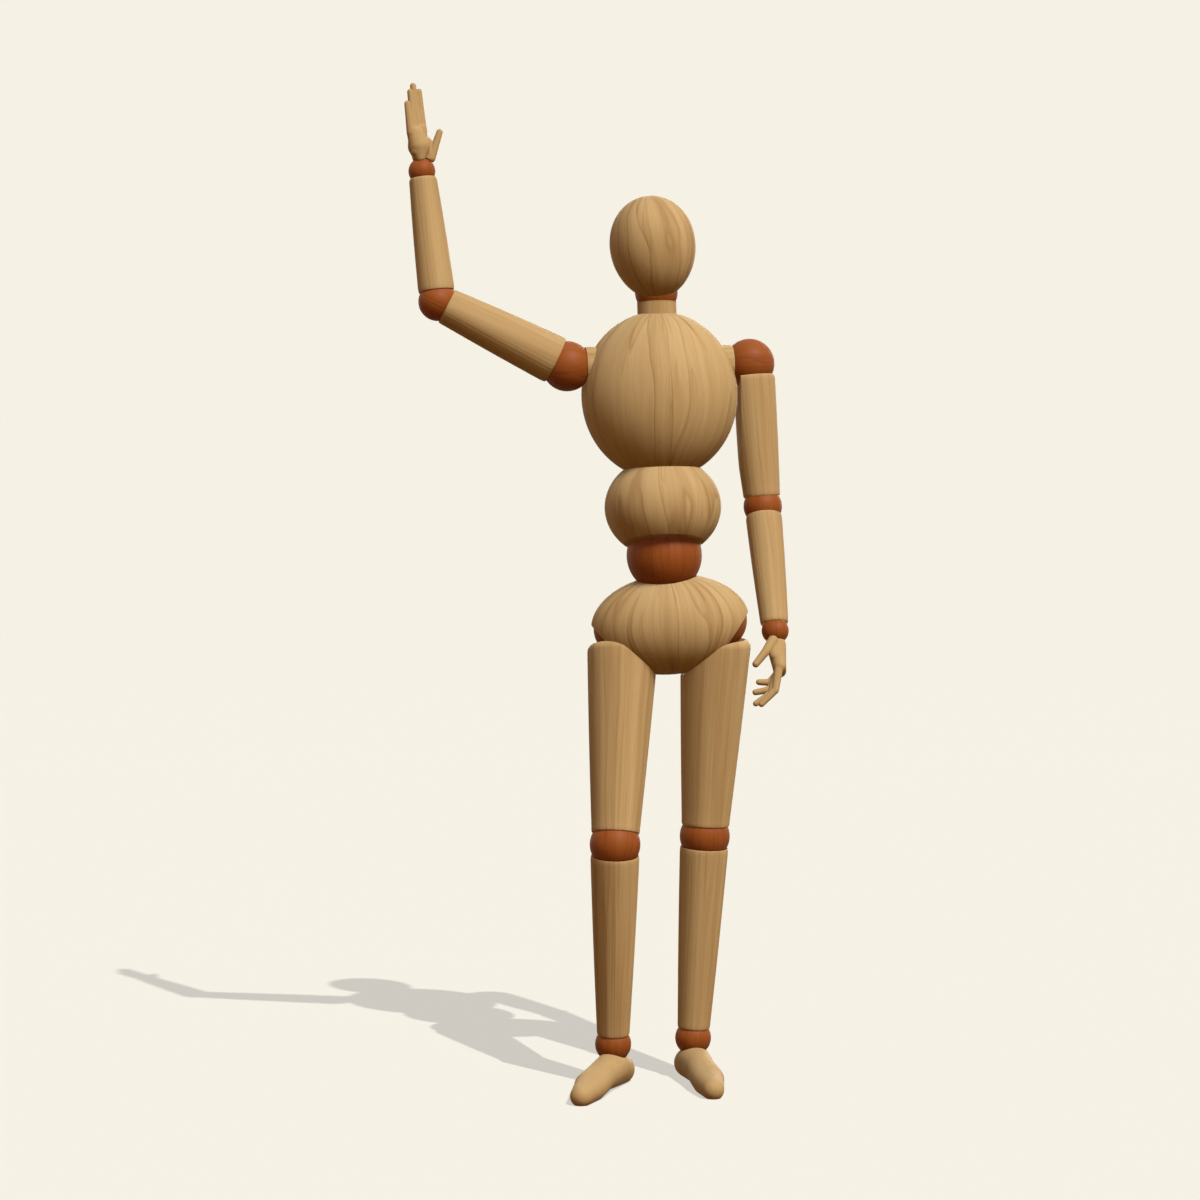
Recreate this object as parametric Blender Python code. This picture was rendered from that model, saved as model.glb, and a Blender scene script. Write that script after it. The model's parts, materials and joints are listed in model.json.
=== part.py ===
# Jointed artist drawing mannequin, free standing, right arm raised in a wave.
# Metres, +Z up. The figure faces -Y, so its right side is at -X.
# Every limb frame has +Z towards the body, so a limb hangs along -Z.
# A ball turns about +Z of its own frame (swivel) and the next piece bends about +X.
import bpy
import bmesh
from math import sin, cos, asin, radians, pi, sqrt
from mathutils import Matrix, Vector

# Balls
SHOULDER_BALL = 0.0082
ELBOW_BALL = 0.0063
WRIST_BALL = 0.0044
HIP_BALL = 0.0098
KNEE_BALL = 0.0082
ANKLE_BALL = 0.0059
WAIST_BALL = 0.0123
NECK_BALL = 0.0070

# Limb lengths between ball centres, and turned radii near each end
UPPER_ARM, UPPER_ARM_R = 0.0470, (0.0079, 0.0061)
FOREARM, FOREARM_R = 0.0432, (0.0059, 0.0046)
THIGH, THIGH_R = 0.0711, (0.0115, 0.0079)
THIGH_TOP, THIGH_ROUND = 0.0058, 0.0022
SHIN, SHIN_R = 0.0674, (0.0079, 0.0054)
ANKLE_HEIGHT = 0.0136

# Torso
HEAD_R, HEAD_H = 0.0140, 0.0169
HEAD_RISE, HEAD_FORE = 0.0143, 0.0035
NECK_R = 0.0064
CHEST_W, CHEST_D, CHEST_H = 0.0256, 0.0215, 0.0275
CHEST_RISE = 0.0523
ABDOMEN_W, ABDOMEN_H = 0.0190, 0.0166
ABDOMEN_RISE = 0.0158
SEAM_RISE = 0.0282
ABDOMEN_TRIM = 0.0036
SHOULDER_RISE = 0.0623
NECK_ABOVE, SHOULDER_BESIDE = 0.0064, 0.0046
NECK_RISE = CHEST_RISE + CHEST_H + NECK_ABOVE
SHOULDER_OUT = CHEST_W + SHOULDER_BESIDE
PEG_R, PEG_IN = 0.0062, 0.0130
PELVIS_W, PELVIS_R = 0.0259, 0.0164
HIP_OUT = 0.0153
WAIST_RISE = 0.0226
FACET_DROP, FACET_TILT = 0.0068, 39.0
HOOK_OUT, HOOK_HALF, HOOK_BACK, HOOK_FRONT = 0.0152, 0.0034, -30.0, 44.0

# Hidden wires: bore, coil start past the upper ball, coil stop before the lower ball, and how
# far the pin's foot reaches into the coil
SPRING = {"upper_arm": dict(bore=0.0028, start=0.0013, stop=0.0062, reach=0.0047),
          "forearm": dict(bore=0.0023, start=0.0017, stop=0.0053, reach=0.0050),
          "thigh": dict(bore=0.0036, start=0.0087, stop=0.0068, reach=0.0065),
          "shin": dict(bore=0.0028, start=0.0018, stop=0.0065, reach=0.0060)}
SPINE_W, SPINE_RING, SPINE_BORE = 0.0006, 0.0023, 0.0036
FINE = 0.00045
HIP_TAIL_GAP, SHOULDER_TAIL = 0.0034, 0.0006

# Carving plans of the hands and feet are drawn in steps of one unit
HAND_UNIT, FOOT_UNIT = 0.001, 0.001
HAND_VOXEL, FOOT_VOXEL = 0.00045, 0.0006
HAND_SCREW, FOOT_SCREW = 0.0092, 0.0096

# Fits
CLEAR = 0.0003
GLUE = 0.00015
RIM, KNEE_RIM = radians(61), radians(65)
CORNER, LIP = 0.0018, 0.00025

# Rest pose, degrees
PELVIS_ROLL, WAIST_SIDE, WAIST_LEAN, CHEST_TURN = -5.0, 3.3, -6.6, 9.0
HEAD_TILT, HEAD_NOD = -5.2, 0.0
ARM = {"right": dict(swing=-3.2, bend=27.6, twist=0.0, elbow=57.5, wrist_turn=40.0, wrist=0.0),
       "left": dict(swing=0.0, bend=86.4, twist=-100.0, elbow=-17.2, wrist_turn=90.0, wrist=4.0)}
LEG = {"right": dict(swing=-14.6, bend=-82.9, twist=-92.8, knee=23.0, turn=-14.5, splay=-15.5),
       "left": dict(swing=-1.5, bend=98.1, twist=-90.0, knee=1.7, turn=8.5, splay=8.5)}

# Travel of each bend from the ball's own straight-out line, degrees
BEND_RANGE = {"right_shoulder": (-60.0, 32.0), "left_shoulder": (-30.0, 86.4),
              "right_elbow": (0.0, 57.5), "left_elbow": (-52.0, 0.0),
              "right_wrist": (-35.0, 40.0), "left_wrist": (-35.0, 40.0),
              "right_hip": (-82.9, -57.9), "left_hip": (73.1, 98.1),
              "right_knee": (0.0, 46.0), "left_knee": (0.0, 46.0),
              "right_ankle": (-22.0, 24.0), "left_ankle": (-22.0, 24.0)}

SEG = 12
SIDES = (("right", -1), ("left", 1))

for old in list(bpy.data.objects):
    bpy.data.objects.remove(old, do_unlink=True)


def material(name, rgb, rough, metal=0.0):
    mat = bpy.data.materials.new(name)
    mat.use_nodes = True
    shader = mat.node_tree.nodes["Principled BSDF"]
    shader.inputs["Base Color"].default_value = (*rgb, 1)
    shader.inputs["Roughness"].default_value = rough
    shader.inputs["Metallic"].default_value = metal
    mat.diffuse_color = (*rgb, 1)
    return mat


LIGHT = material("pale_wood", (0.55, 0.33, 0.13), 0.5)
RED = material("red_stained_wood", (0.33, 0.07, 0.02), 0.45)
STEEL = material("spring_steel", (0.5, 0.5, 0.52), 0.3, 1.0)


def rot(axis, degrees):
    return Matrix.Rotation(radians(degrees), 4, axis)


def shift(x=0.0, y=0.0, z=0.0):
    return Matrix.Translation((x, y, z))


def frame(name, parent, matrix):
    empty = bpy.data.objects.new(name, None)
    empty.empty_display_size = 0.004
    bpy.context.scene.collection.objects.link(empty)
    empty.parent = parent
    empty.matrix_local = matrix
    return empty


def place(name, data, parent, mat=None, matrix=None):
    obj = bpy.data.objects.new(name, data)
    bpy.context.scene.collection.objects.link(obj)
    obj.parent = parent
    if matrix is not None:
        obj.matrix_local = matrix
    if mat:
        data.materials.append(mat)
    return obj


def to_mesh(bm, name, smooth=True):
    bmesh.ops.recalc_face_normals(bm, faces=bm.faces)
    mesh = bpy.data.meshes.new(name)
    for face in bm.faces:
        face.smooth = smooth
    bm.to_mesh(mesh)
    bm.free()
    return mesh


def turned(name, points, closed, seg=SEG):
    """Spin a profile of (radius, height) points about Z, like a lathe."""
    bm = bmesh.new()
    verts = [bm.verts.new((r, 0, z)) for r, z in points]
    edges = [bm.edges.new(pair) for pair in zip(verts, verts[1:])]
    if closed:
        edges.append(bm.edges.new((verts[-1], verts[0])))
    bmesh.ops.spin(bm, geom=verts + edges, cent=(0, 0, 0), axis=(0, 0, 1),
                   angle=2 * pi, steps=seg, use_merge=True)
    bmesh.ops.remove_doubles(bm, verts=bm.verts, dist=1e-6)
    return to_mesh(bm, name)


def arc(radius, start, stop, steps, height=0.0, stretch=1.0):
    """Points on a half circle measured from straight up."""
    return [(max(radius * sin(a), 0.0), height + stretch * radius * cos(a))
            for a in (start + (stop - start) * i / steps for i in range(steps + 1))]


def slab(name, outline, half):
    """A flat plate in the YZ plane, cut out of an outline and thickened along X."""
    bm = bmesh.new()
    face = bm.faces.new([bm.verts.new((-half, y, z)) for y, z in outline])
    made = bmesh.ops.extrude_face_region(bm, geom=[face])
    moved = [v for v in made["geom"] if isinstance(v, bmesh.types.BMVert)]
    bmesh.ops.translate(bm, verts=moved, vec=(2 * half, 0, 0))
    return to_mesh(bm, name, smooth=False)


def cut(obj, data, matrix=None, operation="DIFFERENCE"):
    tool = place(obj.name + "_cut", data, obj.parent, None, matrix)
    tool.hide_render = True
    tool.display_type = "WIRE"
    mod = obj.modifiers.new("cut", "BOOLEAN")
    mod.solver = "EXACT"
    mod.operation = operation
    mod.object = tool
    return tool


def sphere_tool(name, radius, steps=12, seg=SEG):
    return turned(name, arc(radius, 0, pi, steps), False, seg)


def rod_tool(name, radius, low, high, seg=12):
    return turned(name, [(0, low), (radius, low), (radius, high), (0, high)], False, seg)


def wire(name, points, radius, parent):
    """A bent steel wire, drawn as a bevelled path with closed ends."""
    path = bpy.data.curves.new(name, "CURVE")
    path.dimensions = "3D"
    path.bevel_depth = radius
    path.bevel_resolution = 0
    path.use_fill_caps = True
    line = path.splines.new("POLY")
    line.points.add(len(points) - 1)
    for point, co in zip(line.points, points):
        point.co = (*co, 1)
    return place(name, path, parent, STEEL)


def eye_path(ring, past, length, steps=8):
    """An eye whose far wire lies 'past' the origin, with a straight tail up to 'length'."""
    turns = [radians(140 + 270 * i / steps) for i in range(steps + 1)]
    path = [(ring * cos(a), ring - past + ring * sin(a)) for a in turns]
    return path + [(0.12 * ring, 2.45 * ring - past), (0, 3.0 * ring - past), (0, length)]


def pin_size(ball):
    """Wire radius and eye radius that suit a ball."""
    return 0.075 * ball, 0.24 * ball


def eye_pin(name, parent, ball, length):
    """The eye sits in the ball, the tail runs inwards and ends in a short foot."""
    w, ring = pin_size(ball)
    path = eye_path(ring, 0.0, length)
    foot = [(0.5 * w, length + 0.9 * w), (1.4 * w, length + 1.2 * w)]
    return wire(name, [(u, 0, h) for u, h in path + foot], w, parent)


def eye_past(ball, w):
    return pin_size(ball)[0] + w + CLEAR


def coil_ends(part, length, balls):
    """Where the coil starts and stops, and how long the lower ball's pin is."""
    size = SPRING[part]
    stop = length - balls[1] - size["stop"]
    return balls[0] + size["start"], stop, length - stop + size["reach"]


def spring(name, parent, part, length, balls, w):
    """An extension spring: eye in the upper ball, coil in the bore, coned lower end."""
    ball, bore = balls[0], SPRING[part]["bore"]
    top, bottom, tail = coil_ends(part, length, balls)
    neck = pin_size(balls[1])[0] + CLEAR + w
    ring = pin_size(ball)[1]
    path = [(0, u, -h) for u, h in eye_path(ring, eye_past(ball, w), top - 2.5 * w)]
    coil, turns, per = bore - CLEAR - w, 4, 6
    total = turns * per
    for i in range(total + 1):
        t = i / total
        radius = coil * min(1.0, 0.35 + i / per)
        if i > total - per:
            radius = neck + (coil - neck) * (total - i) / per
        a = 2 * pi * i / per
        path.append((radius * cos(a), radius * sin(a), -(top + (bottom - top) * t)))
    return wire(name, path, w, parent)


def ball_joint(name, parent, ball, w, span):
    """A turned ball, bored for its eye pin and slotted for the next piece's eye."""
    pin, ring = pin_size(ball)
    hole = ring + pin + CLEAR
    floor = -(pin + CLEAR)
    start = asin(hole / ball)
    profile = [(0, floor), (hole, floor)] + arc(ball, start, pi, 7)
    obj = place(name, turned(name, profile, False), parent, RED)
    half = w + CLEAR
    disc = 2.3 * ring - eye_past(ball, w) + w + CLEAR
    margin = asin(half / disc)
    low, high = radians(span[0]) - margin, radians(span[1]) + margin
    outline = []
    for i in range(7):
        a = low + (high - low) * i / 6
        outline.append((1.4 * ball * sin(a), -1.4 * ball * cos(a)))
    for i in range(11):
        a = high + (2 * pi - (high - low)) * i / 10
        outline.append((disc * sin(a), -disc * cos(a)))
    cut(obj, slab(name + "_slot", outline, half))
    return obj


def cup_points(ball, bore, rim, steps=3):
    return [(r, -h) for r, h in arc(ball + CLEAR, asin(bore / (ball + CLEAR)), rim, steps)]


def corner(inner, outer, height, drop):
    """A rounded edge from a cup rim out to the turned side."""
    return [(inner + (outer - inner) * sin(a), height - drop * (1 - cos(a)))
            for a in (radians(35), radians(65), radians(90))]


def rim_of(ball, radius, most=RIM):
    """How far round a ball a cup reaches and still leaves a rounded lip."""
    return min(most, asin(min((radius - LIP) / (ball + CLEAR), 1.0)))


def limb(name, parent, length, balls, radii, bore, most=RIM):
    """A tapered limb with a cup at each end and a bore for its spring."""
    top = cup_points(balls[0], bore, rim_of(balls[0], radii[0], most))
    low = cup_points(balls[1], bore, rim_of(balls[1], radii[1]))
    low = [(r, -length - z) for r, z in low]
    points = top + corner(top[-1][0], radii[0], top[-1][1], CORNER)
    points += corner(low[-1][0], radii[1], low[-1][1], -CORNER)[::-1]
    points += low[::-1]
    return place(name, turned(name, points, True), parent, LIGHT)


def blob(name, groups, unit, voxel, ratio, parent):
    """Rounded bars hulled from balls (x, y, z, radius in units), melted into one carved form."""
    bm = bmesh.new()
    for group in groups:
        bar = bmesh.new()
        for x, y, z, r in group:
            spot = shift(x * unit, y * unit, z * unit)
            bmesh.ops.create_icosphere(bar, subdivisions=2, radius=r * unit, matrix=spot)
        bmesh.ops.convex_hull(bar, input=list(bar.verts))
        bmesh.ops.delete(bar, geom=[v for v in bar.verts if not v.link_faces], context="VERTS")
        mesh = to_mesh(bar, name + "_bar")
        bm.from_mesh(mesh)
        bpy.data.meshes.remove(mesh)
    obj = place(name, to_mesh(bm, name), parent, LIGHT)
    melt = obj.modifiers.new("melt", "REMESH")
    melt.mode = "VOXEL"
    melt.voxel_size = voxel
    ease = obj.modifiers.new("ease", "SMOOTH")
    ease.factor, ease.iterations = 0.5, 4
    thin = obj.modifiers.new("thin", "DECIMATE")
    thin.ratio = ratio
    return obj


# Root and torso
root = frame("figure", None, Matrix())
pelvis = frame("pelvis_frame", root, rot("Y", PELVIS_ROLL))
waist = frame("waist_frame", pelvis, shift(z=WAIST_RISE) @ rot("Y", WAIST_SIDE))
spine = frame("spine_frame", waist, rot("X", WAIST_LEAN))
chest = frame("chest_frame", spine, rot("Z", CHEST_TURN))
nape = frame("nape_frame", chest, shift(z=NECK_RISE) @ rot("Y", HEAD_TILT))
skull = frame("skull_frame", nape, rot("X", HEAD_NOD))

SPINE_PAST = SPINE_W + CLEAR / 2

# Pelvis: turned about the hip line, so the thighs can swing round it
profile = arc(PELVIS_R, 0, pi, 14, 0, PELVIS_W / PELVIS_R)
pelvis_block = place("pelvis", turned("pelvis", profile, False, 24), pelvis, LIGHT, rot("Y", 90))
cut(pelvis_block, sphere_tool("waist_seat", WAIST_BALL + CLEAR, 14, 24), shift(z=WAIST_RISE))
hip_pin, hip_ring = pin_size(HIP_BALL)
hip_tail = HIP_OUT - HIP_TAIL_GAP
for side, s in SIDES:
    seat = sphere_tool(side + "_hip_seat", HIP_BALL + CLEAR, 10, 18)
    cut(pelvis_block, seat, shift(x=s * HIP_OUT) @ rot("Y", 90))
    aim = rot("Y", s * (90 + FACET_TILT))
    fan = [(0, 0)]
    for i in range(7):
        a = radians(HOOK_BACK + (HOOK_FRONT - HOOK_BACK) * i / 6)
        fan.append((-0.02 * sin(a), -0.02 * cos(a)))
    cut(pelvis_block, slab(side + "_hook_slot", fan, HOOK_HALF), shift(x=s * HOOK_OUT))
    facet = rod_tool(side + "_facet", 0.03, FACET_DROP, 0.03, 24)
    cut(pelvis_block, facet, shift(x=s * HIP_OUT) @ aim)
cross = [(0, -0.0079), (hip_pin + CLEAR, -0.0079), (hip_pin + CLEAR, -0.0042), (0.0034, -0.0042),
         (0.0034, 0.0042), (hip_pin + CLEAR, 0.0042), (hip_pin + CLEAR, 0.0079), (0, 0.0079)]
cut(pelvis_block, turned("pin_room", cross, False, 12), rot("Y", 90))
cut(pelvis_block, rod_tool("eye_hole", SPINE_W + CLEAR, 0.0050, 0.0150), Matrix())


def screw_eye(name, parent, length, flip, turn):
    """Eye at the frame's origin with a straight tail, along +Z or -Z."""
    sign = -1 if flip else 1
    path = eye_path(SPINE_RING, SPINE_PAST, length)
    spots = [Vector((u, 0, sign * h)) for u, h in path]
    return wire(name, [rot("Z", turn) @ p for p in spots], SPINE_W, parent)


anchor = frame("anchor_frame", pelvis, shift(z=WAIST_RISE))
screw_eye("pelvis_screw_eye", anchor, WAIST_RISE - 0.0055, True, 90)

# Waist ball, abdomen, chest, neck, neck ball, head


def through_ball(name, parent, radius, throat, mouth):
    """A turned ball with an hourglass bore for two linked eyes."""
    start = asin(mouth / radius)
    points = [(throat, 0)] + arc(radius, start, pi - start, 10)
    return place(name, turned(name, points, True, 20), parent, RED)


through_ball("waist_ball", waist, WAIST_BALL, 0.0036, 0.0058)



def belly(height):
    """Radius of the abdomen's outside at a height above the waist ball's centre."""
    return ABDOMEN_W * sqrt(max(1 - ((height - ABDOMEN_RISE) / ABDOMEN_H) ** 2, 0))


# The cup reaches down as far as the abdomen still has a wall around it
seat = WAIST_BALL + CLEAR
lip = next(a for a in range(75, 20, -1)
           if belly(seat * cos(radians(a))) > seat * sin(radians(a)) + 0.8 * CLEAR)
cup = cup_points(WAIST_BALL, SPINE_BORE + 2 * CLEAR, radians(lip), 5)
low = [(r, -z) for r, z in cup]
seam_top = SEAM_RISE - CLEAR / 2
side_points = []
for i in range(9):
    h = seam_top + (low[-1][1] - seam_top) * i / 8
    side_points.append((belly(h), h))
points = low[::-1] + [(SPINE_BORE, low[0][1] + 0.002), (SPINE_BORE, seam_top)] + side_points
abdomen = place("abdomen", turned("abdomen", points, True, 20), spine, LIGHT)
trim = rod_tool("waist_scoop", 0.03, -0.02, 0.0, 20)
cut(abdomen, trim, shift(z=ABDOMEN_TRIM) @ rot("X", -9.0))

seam_low = SEAM_RISE + CLEAR / 2
drop = (seam_low - CHEST_RISE) / CHEST_H
points = [(0, seam_low)]
for i in range(13):
    a = radians(180) - asin(sqrt(1 - drop * drop))
    a = a * (1 - i / 12)
    points.append((CHEST_W * sin(a), CHEST_RISE + CHEST_H * cos(a)))
chest_mesh = turned("chest", points, False, 22)
chest_mesh.transform(Matrix.Diagonal((1, CHEST_D / CHEST_W, 1, 1)))
chest_block = place("chest", chest_mesh, chest, LIGHT)
NECK_FOOT = NECK_RISE - 0.0128
cut(chest_block, rod_tool("neck_seat", NECK_R + CLEAR, NECK_FOOT - CLEAR, 0.1, 20))
cut(chest_block, sphere_tool("nape_room", NECK_BALL + 2 * CLEAR), shift(z=NECK_RISE))
cut(chest_block, rod_tool("spine_hole", SPINE_BORE, 0.0, NECK_RISE, 12))
shoulder_pin, shoulder_ring = pin_size(SHOULDER_BALL)
for side, s in SIDES:
    turn = shift(s * SHOULDER_OUT, 0, SHOULDER_RISE) @ rot("Y", -90 * s)
    seat_in = SHOULDER_OUT - PEG_IN + GLUE
    room = [(0, 0.0), (PEG_R + GLUE, 0.0), (PEG_R + GLUE, seat_in), (0.0036, seat_in),
            (0.0036, seat_in + 0.0038), (0, seat_in + 0.0038)]
    cut(chest_block, turned(side + "_peg_seat", room, False, 16), turn)
    cut(chest_block, sphere_tool(side + "_ball_room", SHOULDER_BALL + 2 * CLEAR, 10), turn)

neck_cup = cup_points(NECK_BALL, SPINE_BORE, radians(63))
top = [(r, NECK_RISE + z) for r, z in neck_cup]
points = top + corner(top[-1][0], NECK_R, top[-1][1], 0.0006)
points += [(NECK_R, NECK_FOOT), (SPINE_BORE, NECK_FOOT)]
place("neck", turned("neck", points, True), chest, LIGHT)
through_ball("neck_ball", nape, NECK_BALL, 0.0036, 0.0042)

# Head: an egg, fuller above, set forward so its chin passes in front of the neck ball
points = [(0, HEAD_RISE - HEAD_H)]
for i in range(1, 14):
    h = -cos(pi * i / 14)
    points.append((HEAD_R * sin(pi * i / 14) * (1 + 0.05 * h), HEAD_RISE + HEAD_H * h))
points.append((0, HEAD_RISE + HEAD_H))
head = place("head", turned("head", points, False, 20), skull, LIGHT, shift(y=-HEAD_FORE))
cut(head, sphere_tool("head_cup", NECK_BALL + CLEAR, 12, 20))
cut(head, rod_tool("head_bore", 0.0042, 0.0, 0.0098))
cut(head, rod_tool("head_hole", SPINE_W + CLEAR, 0.008, 0.0185))
screw_eye("head_screw_eye", skull, 0.0180, False, 90)

# One long spring links the pelvis eye to the head eye through the hollow spine
path = [(u, 0, h) for u, h in eye_path(SPINE_RING, SPINE_PAST, 0.028)]
coil, turns, per = SPINE_BORE - CLEAR - SPINE_W, 6, 6
for i in range(1, turns * per):
    a = 2 * pi * i / per
    path.append((coil * cos(a), coil * sin(a), 0.031 + 0.030 * i / (turns * per)))
tail = [(u, 0, NECK_RISE - h) for u, h in eye_path(SPINE_RING, SPINE_PAST, 0.022)]
wire("spine_spring", path + tail[::-1], SPINE_W, spine)

# Arms


def hook(ball):
    return min(FINE, 0.075 * ball)


for side, s in SIDES:
    pose = ARM[side]
    inward = Matrix(((0, 0, -s, 0), (1, 0, 0, 0), (0, -s, 0, 0), (0, 0, 0, 1)))
    socket = frame(side + "_socket_frame", chest, shift(s * SHOULDER_OUT, 0, SHOULDER_RISE) @ inward)
    rim = asin(PEG_R / (SHOULDER_BALL + CLEAR)) - 0.02
    peg = [(r, -z) for r, z in cup_points(SHOULDER_BALL, shoulder_pin + CLEAR, rim, 4)]
    peg += [(PEG_R, peg[-1][1] + 0.0003), (PEG_R, SHOULDER_OUT - PEG_IN)]
    peg += [(shoulder_pin + CLEAR, SHOULDER_OUT - PEG_IN)]
    place(side + "_shoulder_peg", turned(side + "_peg", peg, True, 16), socket, LIGHT)

    shoulder = frame(side + "_shoulder_frame", socket, rot("Z", pose["swing"]))
    thick = hook(SHOULDER_BALL)
    ball_joint(side + "_shoulder_ball", shoulder, SHOULDER_BALL, thick, BEND_RANGE[side + "_shoulder"])
    eye_pin(side + "_shoulder_pin", shoulder, SHOULDER_BALL, SHOULDER_OUT - PEG_IN + SHOULDER_TAIL)

    upper = frame(side + "_upper_arm_frame", shoulder, rot("X", pose["bend"]))
    balls = (SHOULDER_BALL, ELBOW_BALL)
    arm = limb(side + "_upper_arm", upper, UPPER_ARM, balls, UPPER_ARM_R, SPRING["upper_arm"]["bore"])
    if side == "left":
        # A flat planed on the inner side lets the hanging arm swing past the chest
        plane = rod_tool("flat", 0.05, SHOULDER_OUT - CHEST_W - 0.0004, 0.05, 20)
        cut(arm, plane, rot("X", -pose["bend"]))
    spring(side + "_upper_arm_spring", upper, "upper_arm", UPPER_ARM, balls, thick)

    elbow = frame(side + "_elbow_frame", upper, shift(z=-UPPER_ARM) @ rot("Z", pose["twist"]))
    thin = hook(WRIST_BALL)
    ball_joint(side + "_elbow_ball", elbow, ELBOW_BALL, thin, BEND_RANGE[side + "_elbow"])
    eye_pin(side + "_elbow_pin", elbow, ELBOW_BALL, coil_ends("upper_arm", UPPER_ARM, balls)[2])

    fore = frame(side + "_forearm_frame", elbow, rot("X", pose["elbow"]))
    balls = (ELBOW_BALL, WRIST_BALL)
    limb(side + "_forearm", fore, FOREARM, balls, FOREARM_R, SPRING["forearm"]["bore"])
    spring(side + "_forearm_spring", fore, "forearm", FOREARM, balls, thin)

    wrist = frame(side + "_wrist_frame", fore, shift(z=-FOREARM) @ rot("Z", pose["wrist_turn"]))
    ball_joint(side + "_wrist_ball", wrist, WRIST_BALL, thin, BEND_RANGE[side + "_wrist"])
    eye_pin(side + "_wrist_pin", wrist, WRIST_BALL, coil_ends("forearm", FOREARM, balls)[2])

    palm = frame(side + "_hand_frame", wrist, rot("X", pose["wrist"]))
    ring = pin_size(WRIST_BALL)[1]
    spots = eye_path(ring, eye_past(WRIST_BALL, thin), HAND_SCREW)
    wire(side + "_hand_screw_eye", [(0, u, -h) for u, h in spots], thin, palm)
    t = -s
    if side == "right":
        bars = [[(0, -0.2, -5.2, 3.4), (-2.7 * t, 0, -13.6, 2.4), (2.6 * t, 0.2, -14.4, 2.3)]]
        for x, y, mid, tip in ((-3.6, -0.2, -18.0, -22.1), (-1.3, 0.0, -20.6, -26.2),
                               (1.0, -0.1, -21.4, -28.5), (3.2, 0.5, -20.4, -26.7)):
            bend = (x * t, 0.6 * y, mid, 1.4)
            bars += [[(0.9 * x * t, 0, -13.5, 1.7), bend], [bend, (x * t, y, tip, 1.2)]]
        bars.append([(2.4 * t, 1.8, -4.8, 1.8), (5.0 * t, 6.0, -12.8, 1.2)])
    else:
        bars = [[(0, -0.2, -5.2, 3.3), (-2.6 * t, -1.2, -13.2, 2.2), (2.6 * t, -1.2, -13.2, 2.2)]]
        for x, y, mid, out, tip in ((-3.7, 2.2, -15.6, 5.2, -14.6), (-1.4, 2.4, -18.2, 5.9, -17.7),
                                    (1.0, 2.2, -20.4, 6.8, -22.4), (3.3, 0.8, -21.0, 4.8, -25.6)):
            bend = (x * t, y, mid, 1.4)
            bars += [[(0.9 * x * t, -1.0, -13.2, 1.7), bend], [bend, (x * t, out, tip, 1.2)]]
        bend = (4.4 * t, 3.4, -8.4, 1.4)
        bars += [[(3.0 * t, 0.8, -4.4, 1.7), bend], [bend, (4.9 * t, 6.4, -12.8, 1.2)]]
    hand = blob(side + "_hand", bars, HAND_UNIT, HAND_VOXEL, 0.045, palm)
    cut(hand, sphere_tool(side + "_hand_cup", WRIST_BALL + CLEAR, 10, 16))
    cut(hand, rod_tool(side + "_hand_hole", thin + GLUE, -HAND_SCREW - CLEAR, -0.68 * WRIST_BALL))

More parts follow.
